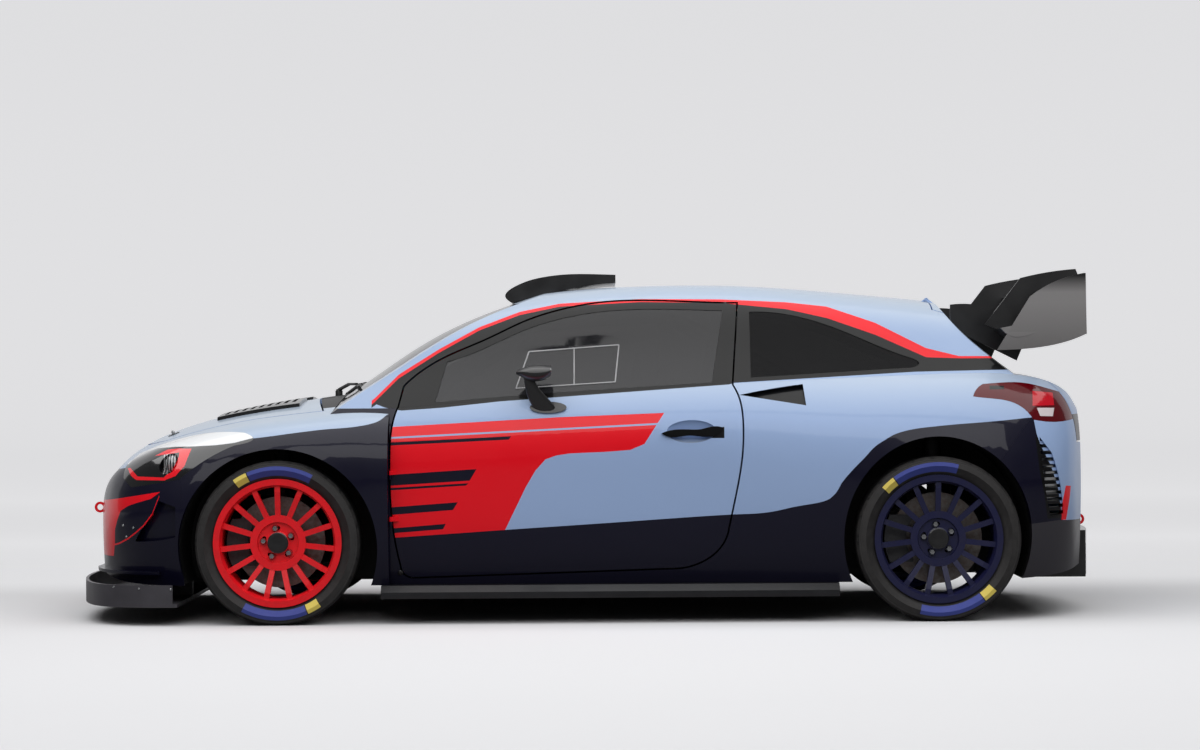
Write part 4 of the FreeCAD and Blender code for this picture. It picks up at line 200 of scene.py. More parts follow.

# The painted highlight on the outside of the wing's end plates: how far out they stand, the heights between
# which it rises and those between which it fades
end_plate_y = 0.68
HIGHLIGHT_RISE = (1.06, 1.24)
HIGHLIGHT_FADE = (1.28, 1.345)
highlight_least = 0.55

# Heights between which the window glass goes from its low tint, paler with a painted reflection, to its high
# one
GLASS_REFLECTION_Z = (0.88, 1.16)

# Front end and lower edge of the dark window band, and both edges of the red line over it
band_front = 0.840
BELT = [
    (0.900, 0.800), (0.820, 0.856), (0.785, 0.842), (0.722, 0.831), (0.562, 0.841), (0.340, 0.864),
    (-0.566, 0.925), (-0.583, 0.931), (-1.300, 0.970), (-1.660, 0.976), (-2.000, 0.980),
]
RED_LOW = [
    (0.900, 0.830), (0.836, 0.857), (0.736, 0.957), (0.578, 1.057), (0.419, 1.145), (0.260, 1.205),
    (0.101, 1.238), (-0.216, 1.254), (-0.534, 1.249), (-0.800, 1.222), (-0.960, 1.185), (-1.150, 1.117),
    (-1.348, 1.027), (-1.480, 1.022), (-1.700, 1.022),
]
RED_HIGH = [
    (0.900, 0.844), (0.836, 0.872), (0.736, 0.972), (0.578, 1.071), (0.419, 1.158), (0.260, 1.218),
    (0.101, 1.250), (-0.216, 1.266), (-0.534, 1.263), (-0.800, 1.250), (-0.960, 1.232), (-1.150, 1.166),
    (-1.348, 1.064), (-1.480, 1.031), (-1.700, 1.030),
]


def shifted(points, rise):
    """An (x, z) line moved up."""
    return [(x, z + rise) for x, z in points]


# Materials

class Graph:
    """A node material whose maths reads as calls."""

    def __init__(self, name):
        self.material = bpy.data.materials.new(name)
        self.material.use_nodes = True
        self.tree = self.material.node_tree
        self.shader = self.tree.nodes["Principled BSDF"]
        self.places = self.tree.nodes.new("ShaderNodeTexCoord").outputs
        self.coordinates = self.places["Object"]
        self.x, self.y, self.z = self.split(self.coordinates)

    def split(self, vector):
        node = self.tree.nodes.new("ShaderNodeSeparateXYZ")
        self.feed(node.inputs[0], vector)
        return node.outputs

    def feed(self, socket, value):
        """Links a socket, or sets its value where that is a plain number or colour."""
        if isinstance(value, bpy.types.NodeSocket):
            self.tree.links.new(value, socket)
        else:
            socket.default_value = value

    def set(self, **inputs):
        for name, value in inputs.items():
            self.feed(self.shader.inputs[name.replace("_", " ")], value)

    def facing_up(self):
        """How far the surface faces up, by the piece's own normals."""
        return self.split(self.places["Normal"])[2]

    def math(self, operation, first, second=0.0, third=0.0):
        node = self.tree.nodes.new("ShaderNodeMath")
        node.operation = operation
        for socket, value in zip(node.inputs, (first, second, third)):
            self.feed(socket, value)
        return node.outputs[0]

    def both(self, *masks):
        result = masks[0]
        for mask in masks[1:]:
            result = self.math("MULTIPLY", result, mask)
        return result

    def either(self, *masks):
        result = masks[0]
        for mask in masks[1:]:
            result = self.math("MAXIMUM", result, mask)
        return result

    def mix(self, share, first, second):
        node = self.tree.nodes.new("ShaderNodeMix")
        node.data_type = "RGBA"
        self.feed(node.inputs["Factor"], share)
        self.feed(node.inputs[6], first)
        self.feed(node.inputs[7], second)
        return node.outputs[2]

    def ramp(self, value, low, high, out_low=0.0, out_high=1.0):
        """Maps a place between low and high to one between out_low and out_high."""
        node = self.tree.nodes.new("ShaderNodeMapRange")
        for socket, number in zip(node.inputs, (value, low, high, out_low, out_high)):
            self.feed(socket, number)
        return node.outputs[0]

    def vary(self, noise, least, most, span=(0.3, 0.7)):
        """A value that wanders from least to most as the noise crosses a span."""
        return self.ramp(noise, *span, least, most)

    def curve(self, points, value, handles="VECTOR"):
        """The height of a line through (place, height) points, read at the value."""
        places = [point[0] for point in points]
        heights = [point[1] for point in points]
        low, high = min(places), max(places)
        bottom, top = min(heights), max(heights)
        node = self.tree.nodes.new("ShaderNodeFloatCurve")
        line = node.mapping.curves[0]
        shares = sorted(((p - low) / (high - low), (h - bottom) / (top - bottom)) for p, h in points)
        for share in shares[1:-1]:
            line.points.new(*share)
        line.points[0].location = shares[0]
        line.points[-1].location = shares[-1]
        for point in line.points:
            point.handle_type = handles
        node.mapping.update()
        self.feed(node.inputs["Value"], self.ramp(value, low, high))
        return self.ramp(node.outputs[0], 0.0, 1.0, bottom, top)

    def below(self, points, handles="VECTOR"):
        return self.math("LESS_THAN", self.z, self.curve(points, self.x, handles))

    def above(self, points):
        return self.math("GREATER_THAN", self.z, self.curve(points, self.x))

    def between(self, value, limits):
        low, high = limits
        return self.both(self.math("GREATER_THAN", value, low), self.math("LESS_THAN", value, high))

    def polygon(self, points):
        """1 inside a convex outline of (x, z) points."""
        middle_x = sum(x for x, z in points) / len(points)
        middle_z = sum(z for x, z in points) / len(points)
        masks = []
        for (x, z), (next_x, next_z) in zip(points, points[1:] + points[:1]):
            side_x, side_z = z - next_z, next_x - x
            offset = side_x * x + side_z * z
            if side_x * middle_x + side_z * middle_z < offset:
                side_x, side_z, offset = -side_x, -side_z, -offset
            across = self.math("MULTIPLY_ADD", self.z, side_z, -offset)
            inwards = self.math("MULTIPLY_ADD", self.x, side_x, across)
            masks.append(self.math("GREATER_THAN", inwards, 0.0))
        return self.both(*masks)

    def noise(self, scale, detail=4.0):
        node = self.tree.nodes.new("ShaderNodeTexNoise")
        self.feed(node.inputs["Vector"], self.coordinates)
        node.inputs["Scale"].default_value = scale
        node.inputs["Detail"].default_value = detail
        return node.outputs[0]

    def bump(self, height, strength, distance):
        node = self.tree.nodes.new("ShaderNodeBump")
        node.inputs["Strength"].default_value = strength
        node.inputs["Distance"].default_value = distance
        self.feed(node.inputs["Height"], height)
        self.feed(self.shader.inputs["Normal"], node.outputs[0])

    def grain(self, scale, strength, distance=0.0004):
        """A fine even unevenness of the surface."""
        self.bump(self.noise(scale, detail=2.0), strength, distance)


def paler(base, gain, lift):
    """A colour with every channel raised."""
    return tuple(min(1.0, channel * gain + lift) for channel in base[:3]) + (1,)


def gloss(graph, base):
    """Car paint: a lacquered colour with a faint orange peel and dust that softens the shine."""
    dust = graph.noise(scale=9.0, detail=6.0)
    graph.set(Base_Color=base, Roughness=graph.vary(dust, 0.30, 0.40))
    graph.set(Specular_IOR_Level=0.15, Coat_Weight=0.4, Coat_Roughness=0.03)
    graph.grain(scale=900.0, strength=0.04)
    return graph.material


def window_band(graph, base):
    """The dark band round the side windows, under its red line."""
    dark = graph.both(graph.above(BELT), graph.below(RED_LOW))
    line = graph.both(graph.above(RED_LOW), graph.below(RED_HIGH))
    behind = graph.math("LESS_THAN", graph.x, band_front)
    banded = graph.mix(graph.both(behind, dark), base, band_black)
    return graph.mix(graph.both(behind, line), banded, racing_red)


def blue_over_navy(graph, edge):
    """Blue, paler with a painted reflection where it faces up, over the navy lower body."""
    blue = graph.mix(graph.ramp(graph.facing_up(), *TOP_REFLECTION), sky_blue, painted_reflection_blue)
    return graph.mix(graph.below(edge, "AUTO"), blue, navy)


def side_paint():
    graph = Graph("side_paint")
    base = window_band(graph, blue_over_navy(graph, NAVY_SIDE))
    dark = graph.mix(graph.polygon(JAMB), base, navy)
    return gloss(graph, graph.mix(graph.polygon(INTAKE), dark, gloss_black))


def door_paint():
    """The side's paint with the red field, its line and its bars, a black handle and black hinges."""
    graph = Graph("door_paint")
    ahead = graph.math("GREATER_THAN", graph.x, graph.curve(RED_REAR, graph.z))
    red = graph.both(graph.below(RED_TOP), graph.above(RED_BOTTOM), ahead)
    pale = graph.both(graph.below(PALE_LINE), graph.above(shifted(PALE_LINE, -pale_line_width)))
    bars = graph.either(*[graph.polygon(bar) for bar in DOOR_BARS])
    field = graph.mix(bars, graph.mix(pale, racing_red, sky_blue), navy)
    painted = window_band(graph, graph.mix(red, blue_over_navy(graph, NAVY_SIDE), field))
    outside = graph.math("GREATER_THAN", graph.math("ABSOLUTE", graph.y), handle_y)
    handle = graph.both(outside, graph.between(graph.x, HANDLE_X), graph.between(graph.z, HANDLE_Z))
    hinge = graph.math("GREATER_THAN", graph.x, door_front)
    return gloss(graph, graph.mix(graph.either(handle, hinge), painted, gloss_black))


def front_paint():
    graph = Graph("front_paint")
    return gloss(graph, blue_over_navy(graph, NAVY_FRONT))


def bumper_paint():
    graph = Graph("bumper_paint")
    flash = graph.both(graph.below(FLASH_TOP), graph.above(FLASH_BOTTOM))
    under_high_edge = graph.below(shifted(BUMPER_LINE, bumper_line_half))
    over_low_edge = graph.above(shifted(BUMPER_LINE, -bumper_line_half))
    ahead = graph.math("GREATER_THAN", graph.x, BUMPER_LINE[0][0])
    red = graph.either(flash, graph.both(under_high_edge, over_low_edge, ahead))
    return gloss(graph, graph.mix(red, blue_over_navy(graph, NAVY_FRONT), racing_red))


def tail_paint():
    graph = Graph("tail_paint")
    behind_corner = graph.math("LESS_THAN", graph.x, graph.curve(CORNER_EDGE, graph.z))
    behind_vent = graph.math("LESS_THAN", graph.x, graph.curve(VENT_EDGE, graph.z))
    ahead_of_corner = graph.math("SUBTRACT", 1.0, behind_corner)
    corner = graph.mix(behind_corner, blue_over_navy(graph, NAVY_SIDE), sky_blue)
    vent = graph.both(behind_vent, ahead_of_corner, graph.between(graph.z, VENT_Z))
    panelled = graph.mix(graph.below(PANEL_TOP), graph.mix(vent, corner, gloss_black), charcoal)
    return gloss(graph, graph.mix(graph.polygon(ACCENT), panelled, racing_red))


def lacquered(name, base, rough, coat):
    """Moulded black body parts under clear lacquer, with a little dust."""
    graph = Graph(name)
    dust = graph.noise(scale=14.0, detail=5.0)
    dusty = graph.vary(dust, 0.0, 0.5, span=(0.35, 0.75))
    graph.set(Base_Color=graph.mix(dusty, base, paler(base, gain=1.5, lift=0.003)))
    graph.set(Roughness=graph.vary(dust, rough, rough + 0.1), Coat_Weight=coat, Coat_Roughness=0.12)
    graph.grain(scale=500.0, strength=0.04)
    return graph.material


def wing_black():
    """Black lacquer, with a painted highlight low on the outer faces of the end plates."""
    graph = Graph("wing_black")
    outer = graph.math("GREATER_THAN", graph.math("ABSOLUTE", graph.y), end_plate_y)
    rise = graph.ramp(graph.z, *HIGHLIGHT_RISE, highlight_least, 1.0)
    fade = graph.ramp(graph.z, *HIGHLIGHT_FADE, 1.0, 0.0)
    dust = graph.noise(scale=14.0, detail=5.0)
    graph.set(Base_Color=graph.mix(graph.both(outer, rise, fade), satin_black, painted_plate_highlight))
    graph.set(Roughness=graph.vary(dust, 0.3, 0.4), Coat_Weight=0.4, Coat_Roughness=0.15)
    graph.grain(scale=500.0, strength=0.04)
    return graph.material


def plastic(name, base, rough, grain_scale=420.0):
    """Moulded plastic with a fine grain."""
    graph = Graph(name)
    grains = graph.noise(grain_scale, detail=2.0)
    cloudy = graph.vary(graph.noise(scale=6.0), 0.0, 0.6, span=(0.35, 0.75))
    graph.set(Base_Color=graph.mix(cloudy, base, paler(base, gain=1.6, lift=0.004)))
    graph.set(Roughness=graph.vary(grains, rough - 0.06, rough + 0.06, span=(0.2, 0.8)))
    graph.bump(grains, strength=0.15, distance=0.0006)
    return graph.material


def metal(name, base, rough, brushed=60.0):
    graph = Graph(name)
    streaks = graph.noise(brushed, detail=5.0)
    graph.set(Base_Color=graph.mix(graph.vary(streaks, 0.0, 0.5), base, dull_metal), Metallic=1.0)
    graph.set(Roughness=graph.vary(streaks, rough - 0.08, rough + 0.08, span=(0.2, 0.8)))
    graph.bump(streaks, strength=0.1, distance=0.0004)
    return graph.material


def powder_coat(name, base):
    """A satin coat with a little brown dust."""
    graph = Graph(name)
    dust = graph.noise(scale=30.0, detail=5.0)
    dusty = graph.vary(dust, 0.0, 0.2, span=(0.45, 0.8))
    graph.set(Base_Color=graph.mix(dusty, base, brake_dust))
    graph.set(Roughness=graph.vary(dust, 0.30, 0.44, span=(0.2, 0.8)))
    graph.set(Specular_IOR_Level=0.3, Coat_Weight=0.3, Coat_Roughness=0.2)
    graph.grain(scale=600.0, strength=0.05)
    return graph.material


def glass(name, low_reflection_tint, high_tint, rough, shine):
    """Dark window glass, paler towards its lower edge with a painted reflection."""
    graph = Graph(name)
    haze = graph.noise(scale=5.0, detail=3.0)
    # The paler tint low down is a painted reflection
    graph.set(Base_Color=graph.mix(graph.ramp(graph.z, *GLASS_REFLECTION_Z), low_reflection_tint, high_tint))
    graph.set(Roughness=graph.vary(haze, rough, rough + 0.02), Specular_IOR_Level=shine)
    graph.set(Alpha=graph.vary(haze, 0.80, 0.84, span=(0.0, 1.0)))
    return graph.material


def tyre_rubber(name, axle, label_turn):
    """Rubber with rain grooves on its tread, fine rings on its sidewall and bare labels round its rim."""
    graph = Graph(name)
    dx = graph.math("SUBTRACT", graph.x, axle.x)
    dz = graph.math("SUBTRACT", graph.z, axle.z)
    radius = graph.math("SQRT", graph.math("ADD", graph.both(dx, dx), graph.both(dz, dz)))
    angle = graph.math("ARCTAN2", dz, graph.math("MULTIPLY", dx, -1.0))
    on_label = graph.between(radius, LABEL_RADII)

    def arc(limits):
        """1 on the label between two angles, and on the one across the wheel from it."""
        low, high = (math.radians(limit + label_turn) for limit in limits)
        upper = graph.between(angle, (low, high))
        lower = graph.between(angle, (low - math.pi, high - math.pi))
        return graph.both(on_label, graph.either(upper, lower))

    scuffs = graph.noise(scale=40.0, detail=6.0)
    base = graph.mix(graph.vary(scuffs, 0.0, 1.0, span=(0.4, 0.7)), rubber, scuffed_rubber)
    off_middle = graph.math("SUBTRACT", graph.math("ABSOLUTE", graph.y), abs(axle.y))
    across = graph.math("ABSOLUTE", off_middle)
    turns = graph.math("MULTIPLY", graph.math("ABSOLUTE", angle), groove_rate)
    wave = graph.math("SINE", graph.math("MULTIPLY_ADD", across, groove_slant, turns))
    cross_groove = graph.math("GREATER_THAN", wave, groove_threshold)
    on_tread = graph.math("GREATER_THAN", radius, tread_radius)
    groove = graph.both(on_tread, graph.either(cross_groove, graph.between(across, RING_GROOVE)))
    # The grooves are painted darker than the rubber: painted shade in them
    shaded_grooves = graph.mix(groove, base, gloss_black)
    labelled = graph.mix(arc(YELLOW_ARC), graph.mix(arc(BLUE_ARC), shaded_grooves, label_blue), label_yellow)
    graph.set(Base_Color=labelled, Roughness=graph.vary(scuffs, 0.58, 0.76, span=(0.2, 0.8)))
    ripple = graph.math("SINE", graph.math("MULTIPLY", radius, ring_rate))
    rings = graph.both(ripple, graph.between(radius, RING_RADII))
    roughened = graph.math("MULTIPLY", scuffs, scuff_share)
    height = graph.math("ADD", graph.math("SUBTRACT", rings, groove), roughened)
    graph.bump(height, strength=0.35, distance=0.0012)
    return graph.material


def seat_fabric():
    graph = Graph("seat_fabric")
    node = graph.tree.nodes.new("ShaderNodeTexWave")
    node.inputs["Scale"].default_value = 180.0
    node.inputs["Distortion"].default_value = 1.5
    graph.feed(node.inputs["Vector"], graph.coordinates)
    weave = node.outputs["Fac"]
    graph.set(Base_Color=graph.mix(weave, fabric_dark, fabric_pale), Roughness=0.9, Sheen_Weight=0.3)
    graph.bump(weave, strength=0.3, distance=0.0008)
    return graph.material


def lamp_face():
    """The front lamp as it shows: a silver strip over a dark bowl with red trim and a barred lens."""
    graph = Graph("lamp_face")
    silvered = graph.above(STRIP_EDGE)
    trim = graph.either(*[graph.polygon(outline) for outline in LAMP_TRIM])
    wave = graph.math("SINE", graph.math("MULTIPLY", graph.x, 2 * math.pi * lens_bars_per_m))
    bars = graph.mix(graph.math("GREATER_THAN", wave, lens_bar_threshold), lens_dark, lens_pale)
    bowl = graph.mix(graph.polygon(LENS), bowl_black, bars)
    inner = graph.mix(trim, bowl, racing_red)
    graph.set(Base_Color=graph.mix(silvered, inner, lamp_silver))
    graph.set(Roughness=graph.ramp(silvered, 0.0, 1.0, 0.12, 0.3))
    graph.set(Coat_Weight=1.0, Coat_Roughness=0.02)
    graph.bump(graph.noise(scale=300.0), strength=0.03, distance=0.0005)
    return graph.material


def tail_lens():
    graph = Graph("tail_lens")
    bright = graph.mix(graph.polygon(TAIL_BRIGHT), tail_red, tail_bright)
    block = graph.mix(graph.polygon(TAIL_BLOCK), bright, gloss_black)
    ribs = graph.math("SINE", graph.math("MULTIPLY", graph.z, tail_ribs))
    graph.set(Base_Color=graph.mix(graph.polygon(TAIL_CLEAR), block, tail_clear), Roughness=0.1)
    graph.set(Specular_IOR_Level=0.2, Coat_Weight=0.4, Coat_Roughness=0.03)
    graph.bump(ribs, strength=0.06, distance=0.0006)
    return graph.material


def brake_disc_face():
    """A machined disc with rust-brown heat marks."""
    graph = Graph("brake_disc_face")
    streaks = graph.noise(scale=60.0, detail=5.0)
    graph.set(Base_Color=graph.mix(graph.vary(streaks, 0.0, 0.8), steel, heated_steel), Metallic=0.8)
    graph.set(Roughness=graph.vary(streaks, 0.3, 0.5, span=(0.2, 0.8)))
    graph.bump(streaks, strength=0.1, distance=0.0004)
    return graph.material


MATERIALS = {
    "side": side_paint(),
    "door": door_paint(),
    "front": front_paint(),
    "bumper": bumper_paint(),
    "tailpiece": tail_paint(),
    "black": lacquered("black_lacquer", gloss_black, rough=0.3, coat=0.6),
    "charcoal": lacquered("charcoal_satin", charcoal, rough=0.45, coat=0.2),
    "sill": lacquered("sill_lacquer", colour(2, 2, 8), rough=0.4, coat=0.1),
    "wing": wing_black(),
    "trim": plastic("trim_plastic", trim_black, rough=0.5),
    "cabin": plastic("cabin_plastic", colour(34, 34, 36), rough=0.65),
    "under": plastic("underbody", colour(14, 14, 16), rough=0.7),
    "cage": powder_coat("cage_paint", colour(150, 152, 156)),
    "glass": glass("tinted_glass", colour(44, 44, 47), colour(26, 26, 29), rough=0.03, shine=0.5),
    "dark_glass": glass("dark_glass", colour(16, 16, 18), colour(12, 12, 14), rough=0.05, shine=0.12),
    "red_wheel": powder_coat("red_wheel", colour(240, 22, 34)),
    "navy_wheel": powder_coat("navy_wheel", colour(24, 26, 62)),
    "front_tyre": tyre_rubber("front_tyre", front_axle, label_turn=0.0),
    "rear_tyre": tyre_rubber("rear_tyre", rear_axle, label_turn=rear_label_turn),
    "disc": brake_disc_face(),
    "cast": metal("cast_metal", colour(84, 84, 86), rough=0.5, brushed=90.0),
    "silver": metal("bright_metal", silver, rough=0.25),
    "rail": plastic("rail_plastic", colour(150, 150, 152), rough=0.4),
    "mirror": metal("mirror_silver", colour(220, 222, 224), rough=0.1),
    "red": powder_coat("red_coat", racing_red),
    "fabric": seat_fabric(),
    "belt": plastic("belt_webbing", colour(170, 14, 26), rough=0.7, grain_scale=700.0),
    "lamp": lamp_face(),
    "tail": tail_lens(),
}

FINISHES = {
    "side": ["body_side_left", "body_side_right", "roof", "tailgate"],
    "door": ["door_left", "door_right"],
    "front": ["front_fenders", "bonnet"],
    "bumper": ["front_bumper"],
    "tailpiece": ["rear_bumper"],
    "black": ["roof_scoop", "diffuser", "mirror_left", "mirror_right", "grille", "bonnet_vents"],
    "charcoal": ["front_splitter"],
    "sill": ["side_skirts"],
    "wing": ["rear_wing"],
    "trim": ["cowl"],
    "cabin": ["dashboard"],
    "under": ["floor_pan", "wheelhouses"],
    "cage": ["roll_cage"],
    "glass": ["windscreen", "door_glass_left", "door_glass_right"],
    "dark_glass": ["quarter_windows", "rear_window"],
    "red_wheel": ["wheel_front_left", "wheel_front_right"],
    "navy_wheel": ["wheel_rear_left", "wheel_rear_right"],
    "front_tyre": ["tyre_front_left", "tyre_front_right"],
    "rear_tyre": ["tyre_rear_left", "tyre_rear_right"],
    "disc": ["brake_disc_" + corner for corner in CORNERS],
    "cast": ["engine", "front_subframe", "rear_suspension", "drivetrain", "front_driveshafts",
             "front_knuckle_left", "front_knuckle_right", "steering_wheel"],
    "red": ["tow_eyes"],
    "fabric": ["seats"],
    "lamp": ["headlamps"],
    "tail": ["tail_lamps"],
}

for finish, names in FINISHES.items():
    for name in names:
        slots = nodes[name].data.materials
        slots.clear()
        slots.append(MATERIALS[finish])


# Helpers for the finer pieces

still = Matrix.Identity(4)
upwards = Vector((0, 0, 1))
weld_distance = 1e-6
far_off = 3.0

# Section of a low moulding, as shares of its width and height
STRIP_SECTION = [(-0.5, -0.3), (-0.5, 0.6), (-0.3, 1.0), (0.3, 1.0), (0.5, 0.6), (0.5, -0.3)]


def piece(name, work, finish, body):
    """A new object that moves with a body."""
    made = bpy.data.objects.new(name, finish_mesh(work, name))
    bpy.context.scene.collection.objects.link(made)
    made.data.materials.append(MATERIALS[finish])
    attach(made, body)


def finish_mesh(work, name, smooth_degrees=35):
    mesh = bpy.data.meshes.new(name)
    work.to_mesh(mesh)
    work.free()
    mesh.shade_smooth()
    mesh.set_sharp_from_angle(angle=math.radians(smooth_degrees))
    return mesh


def turned(profile, steps):
    """A bmesh turned about the Y axis from (radius, y) points."""
    work = bmesh.new()
    rings = []
    for step in range(steps):
        angle = 2 * math.pi * step / steps
        rings.append([work.verts.new((r * math.cos(angle), y, r * math.sin(angle))) for r, y in profile])
    for step in range(steps):
        here, there = rings[step], rings[(step + 1) % steps]
        for i in range(len(profile) - 1):
            work.faces.new((here[i], here[i + 1], there[i + 1], there[i]))
    bmesh.ops.remove_doubles(work, verts=work.verts, dist=weld_distance)
    bmesh.ops.recalc_face_normals(work, faces=work.faces)
    return work


def widened(profile, radius):
    """A (share, y) profile at its real radius."""
    return [(radius * share, y) for share, y in profile]


def add_mesh(target, source, matrix):
    """Adds a moved copy of one bmesh to another."""
    mesh = bpy.data.meshes.new("part")
    source.to_mesh(mesh)
    mesh.transform(matrix)
    target.from_mesh(mesh)
    bpy.data.meshes.remove(mesh)


def gathered(*parts):
    """One bmesh made of several, each with the matrix that moves it."""
    work = bmesh.new()
    for source, matrix in parts:
        add_mesh(work, source, matrix)
        source.free()
    return work


def surface(name, start, way):
    """Where a ray meets a CAD piece, and the outward direction there."""
    hit, place, facing, _ = nodes[name].ray_cast(start, way)
    if not hit:
        raise ValueError(name + " is missed by a ray from " + str(tuple(start)))
    return place, -facing if facing.dot(way) > 0 else facing


def from_side(name, x, z, side):
    return surface(name, Vector((x, side * far_off, z)), Vector((0, -side, 0)))


def from_above(name, x, y):
    return surface(name, Vector((x, y, far_off)), -upwards)


def from_ahead(name, start_x, y, z):
    return surface(name, Vector((start_x, y, z)), Vector((-1, 0, 0)))


def spread(points, step):
    """Points along a line, no further apart than the step."""
    result = [Vector(points[0])]
    for start, end in zip(points, points[1:]):
        start, end = Vector(start), Vector(end)
        count = max(1, math.ceil((end - start).length / step))
        result += [start.lerp(end, i / count) for i in range(1, count + 1)]
    return result


def strip(spots, width, height):
    """A low moulding along spots of place and outward direction."""
    work = bmesh.new()
    rings = []
    for i, (place, facing) in enumerate(spots):
        ahead = spots[min(i + 1, len(spots) - 1)][0] - spots[max(i - 1, 0)][0]
        across = ahead.cross(facing).normalized()
        ring = [place + across * width * side + facing * height * rise for side, rise in STRIP_SECTION]
        rings.append([work.verts.new(corner) for corner in ring])
    count = len(STRIP_SECTION)
    for here, there in zip(rings, rings[1:]):
        for i in range(count):
            j = (i + 1) % count
            work.faces.new((here[i], here[j], there[j], there[i]))
    work.faces.new(rings[0])
    work.faces.new(rings[-1])
    bmesh.ops.recalc_face_normals(work, faces=work.faces)
    return work


def stand(place, facing):
    """The matrix that puts a turned shape's axis along a direction at a place."""
    return Matrix.Translation(place) @ facing.to_track_quat("Y", "Z").to_matrix().to_4x4()


# Wheel nuts and centre caps: profiles as (share of the radius, y)

nut_circle = 0.1143 / 2
nut_radius = 0.0125
nut_count = 5
nut_turn = 0.1
NUT_CONE = [(0, -0.006), (0.9, -0.006), (1.15, 0.0), (1.15, 0.003)]
NUT_HEXAGON = [(1, 0.002), (1, 0.017), (0.75, 0.021), (0, 0.022)]
cap_radius = 0.041
cap_seat = 0.8
CAP = [(0, -0.002), (1, -0.002), (1, 0.003), (0.92, 0.006), (0.85, 0.0055), (0.4, 0.0075), (0, 0.008)]


def nut():
    """A wheel nut with a cone and a hexagon with a bevelled end, pointing along +Y."""
    cone = turned(widened(NUT_CONE, nut_radius), steps=24)
    hexagon = turned(widened(NUT_HEXAGON, nut_radius), steps=6)
    return gathered((cone, still), (hexagon, still))


def wheel_trim(corner, side, axle):
    body = "wheel_" + corner
    outwards = Vector((0, side, 0))
    nuts = []
    for i in range(nut_count):
        angle = 2 * math.pi * (i + nut_turn) / nut_count
        x = axle.x + nut_circle * math.cos(angle)
        z = axle.z + nut_circle * math.sin(angle)
        nuts.append((nut(), stand(from_side(body, x, z, side)[0], outwards)))
    piece("nuts_" + corner, gathered(*nuts), "silver", body)
    face = from_side(body, axle.x + cap_radius * cap_seat, axle.z, side)[0]
    cap = turned(widened(CAP, cap_radius), steps=64)
    place = Vector((axle.x, face.y, axle.z))
    piece("cap_" + corner, gathered((cap, stand(place, outwards))), "black", body)


for end, axle in ENDS:
    for side_name, side in SIDES:
        wheel_trim(end + "_" + side_name, side, axle)


# Screws and jack sockets, as (x, z) places: a low domed head with a round recess for the tool

SPLITTER_SCREWS = [(1.846, 0.150), (1.740, 0.146), (1.615, 0.143)]
BUMPER_SCREWS = [(1.816, 0.387), (1.770, 0.380), (1.802, 0.343)]
JACK_SOCKETS = [(0.728, 0.196)]
SCREW = [(1, -0.001), (1, 0.0008), (0.85, 0.0022), (0.45, 0.0028), (0.42, 0.0010), (0, 0.0010)]
screw_radius = 0.005
socket_radius = 0.011


def screws(name, node, spots, side, radius, finish):
    parts = []
    for x, z in spots:
        parts.append((turned(widened(SCREW, radius), steps=20), stand(*from_side(node, x, z, side))))
    piece(name, gathered(*parts), finish, "chassis")


for side_name, side in SIDES:
    screws("splitter_screws_" + side_name, "front_splitter", SPLITTER_SCREWS, side, screw_radius, "silver")
    screws("bumper_screws_" + side_name, "front_bumper", BUMPER_SCREWS, side, screw_radius, "silver")
    screws("jack_socket_" + side_name, "body_side_" + side_name, JACK_SOCKETS, side, socket_radius, "black")


# Bonnet pins, at (x, y) in plan: a plate, a pin as (radius, height) and a spring clip bent from wire

BONNET_PIN = (1.660, 0.430)
pin_plate_radius = 0.024
pin_hole = 0.008
PIN_PLATE = [
    (pin_plate_radius, -0.001), (pin_plate_radius, 0.002), (pin_plate_radius * 0.9, 0.003),
    (pin_hole, 0.003), (pin_hole, 0.001), (0, 0.001),
]
PIN = [(0, 0.0), (0.0055, 0.0), (0.0055, 0.014), (0.004, 0.017), (0, 0.018)]
CLIP = [
    (-0.026, 0.008, 0), (-0.012, 0.009, 0.005), (0.012, 0.009, 0.005),
    (0.022, 0.008, 0), (0.012, 0.009, -0.007), (-0.02, 0.009, -0.007),
]
clip_wire = 0.0025


def bonnet_pin(side_name, side):
    """A plate on the bonnet with a pin through it and a spring clip across the pin."""
    x, y = BONNET_PIN
    place, facing = from_above("bonnet", x, side * y)
    seat = stand(place, facing)
    clip = strip([(seat @ Vector(point), facing) for point in CLIP], clip_wire, clip_wire)
    plate = gathered((turned(PIN_PLATE, steps=32), seat))
    pin = gathered((turned(PIN, steps=20), seat), (clip, still))
    piece("bonnet_pin_plate_" + side_name, plate, "black", "bonnet")
    piece("bonnet_pin_" + side_name, pin, "silver", "bonnet")


for side_name, side in SIDES:
    bonnet_pin(side_name, side)


# Sliding pane in each door window: its rails as (x, z) lines

PANE_RAILS = [
    [(0.272, 0.914), (0.222, 1.058), (-0.133, 1.083), (-0.117, 0.937), (0.272, 0.914)],
    [(0.044, 0.929), (0.044, 1.070)],
]
rail_width = 0.0055
rail_height = 0.003
rail_step = 0.03


def pane_rails(side_name, side):
    node = "door_glass_" + side_name
    parts = []
    for line in PANE_RAILS:
        for ends in zip(line, line[1:]):
            spots = [from_side(node, x, z, side) for x, z in spread(ends, rail_step)]
            parts.append((strip(spots, rail_width, rail_height), still))
    piece("pane_rails_" + side_name, gathered(*parts), "rail", "door_" + side_name)


for side_name, side in SIDES:
    pane_rails(side_name, side)


# Wipers: blade as (x, y) in plan on the windscreen, pivot as (x, y) on the cowl, hub as (radius, height)

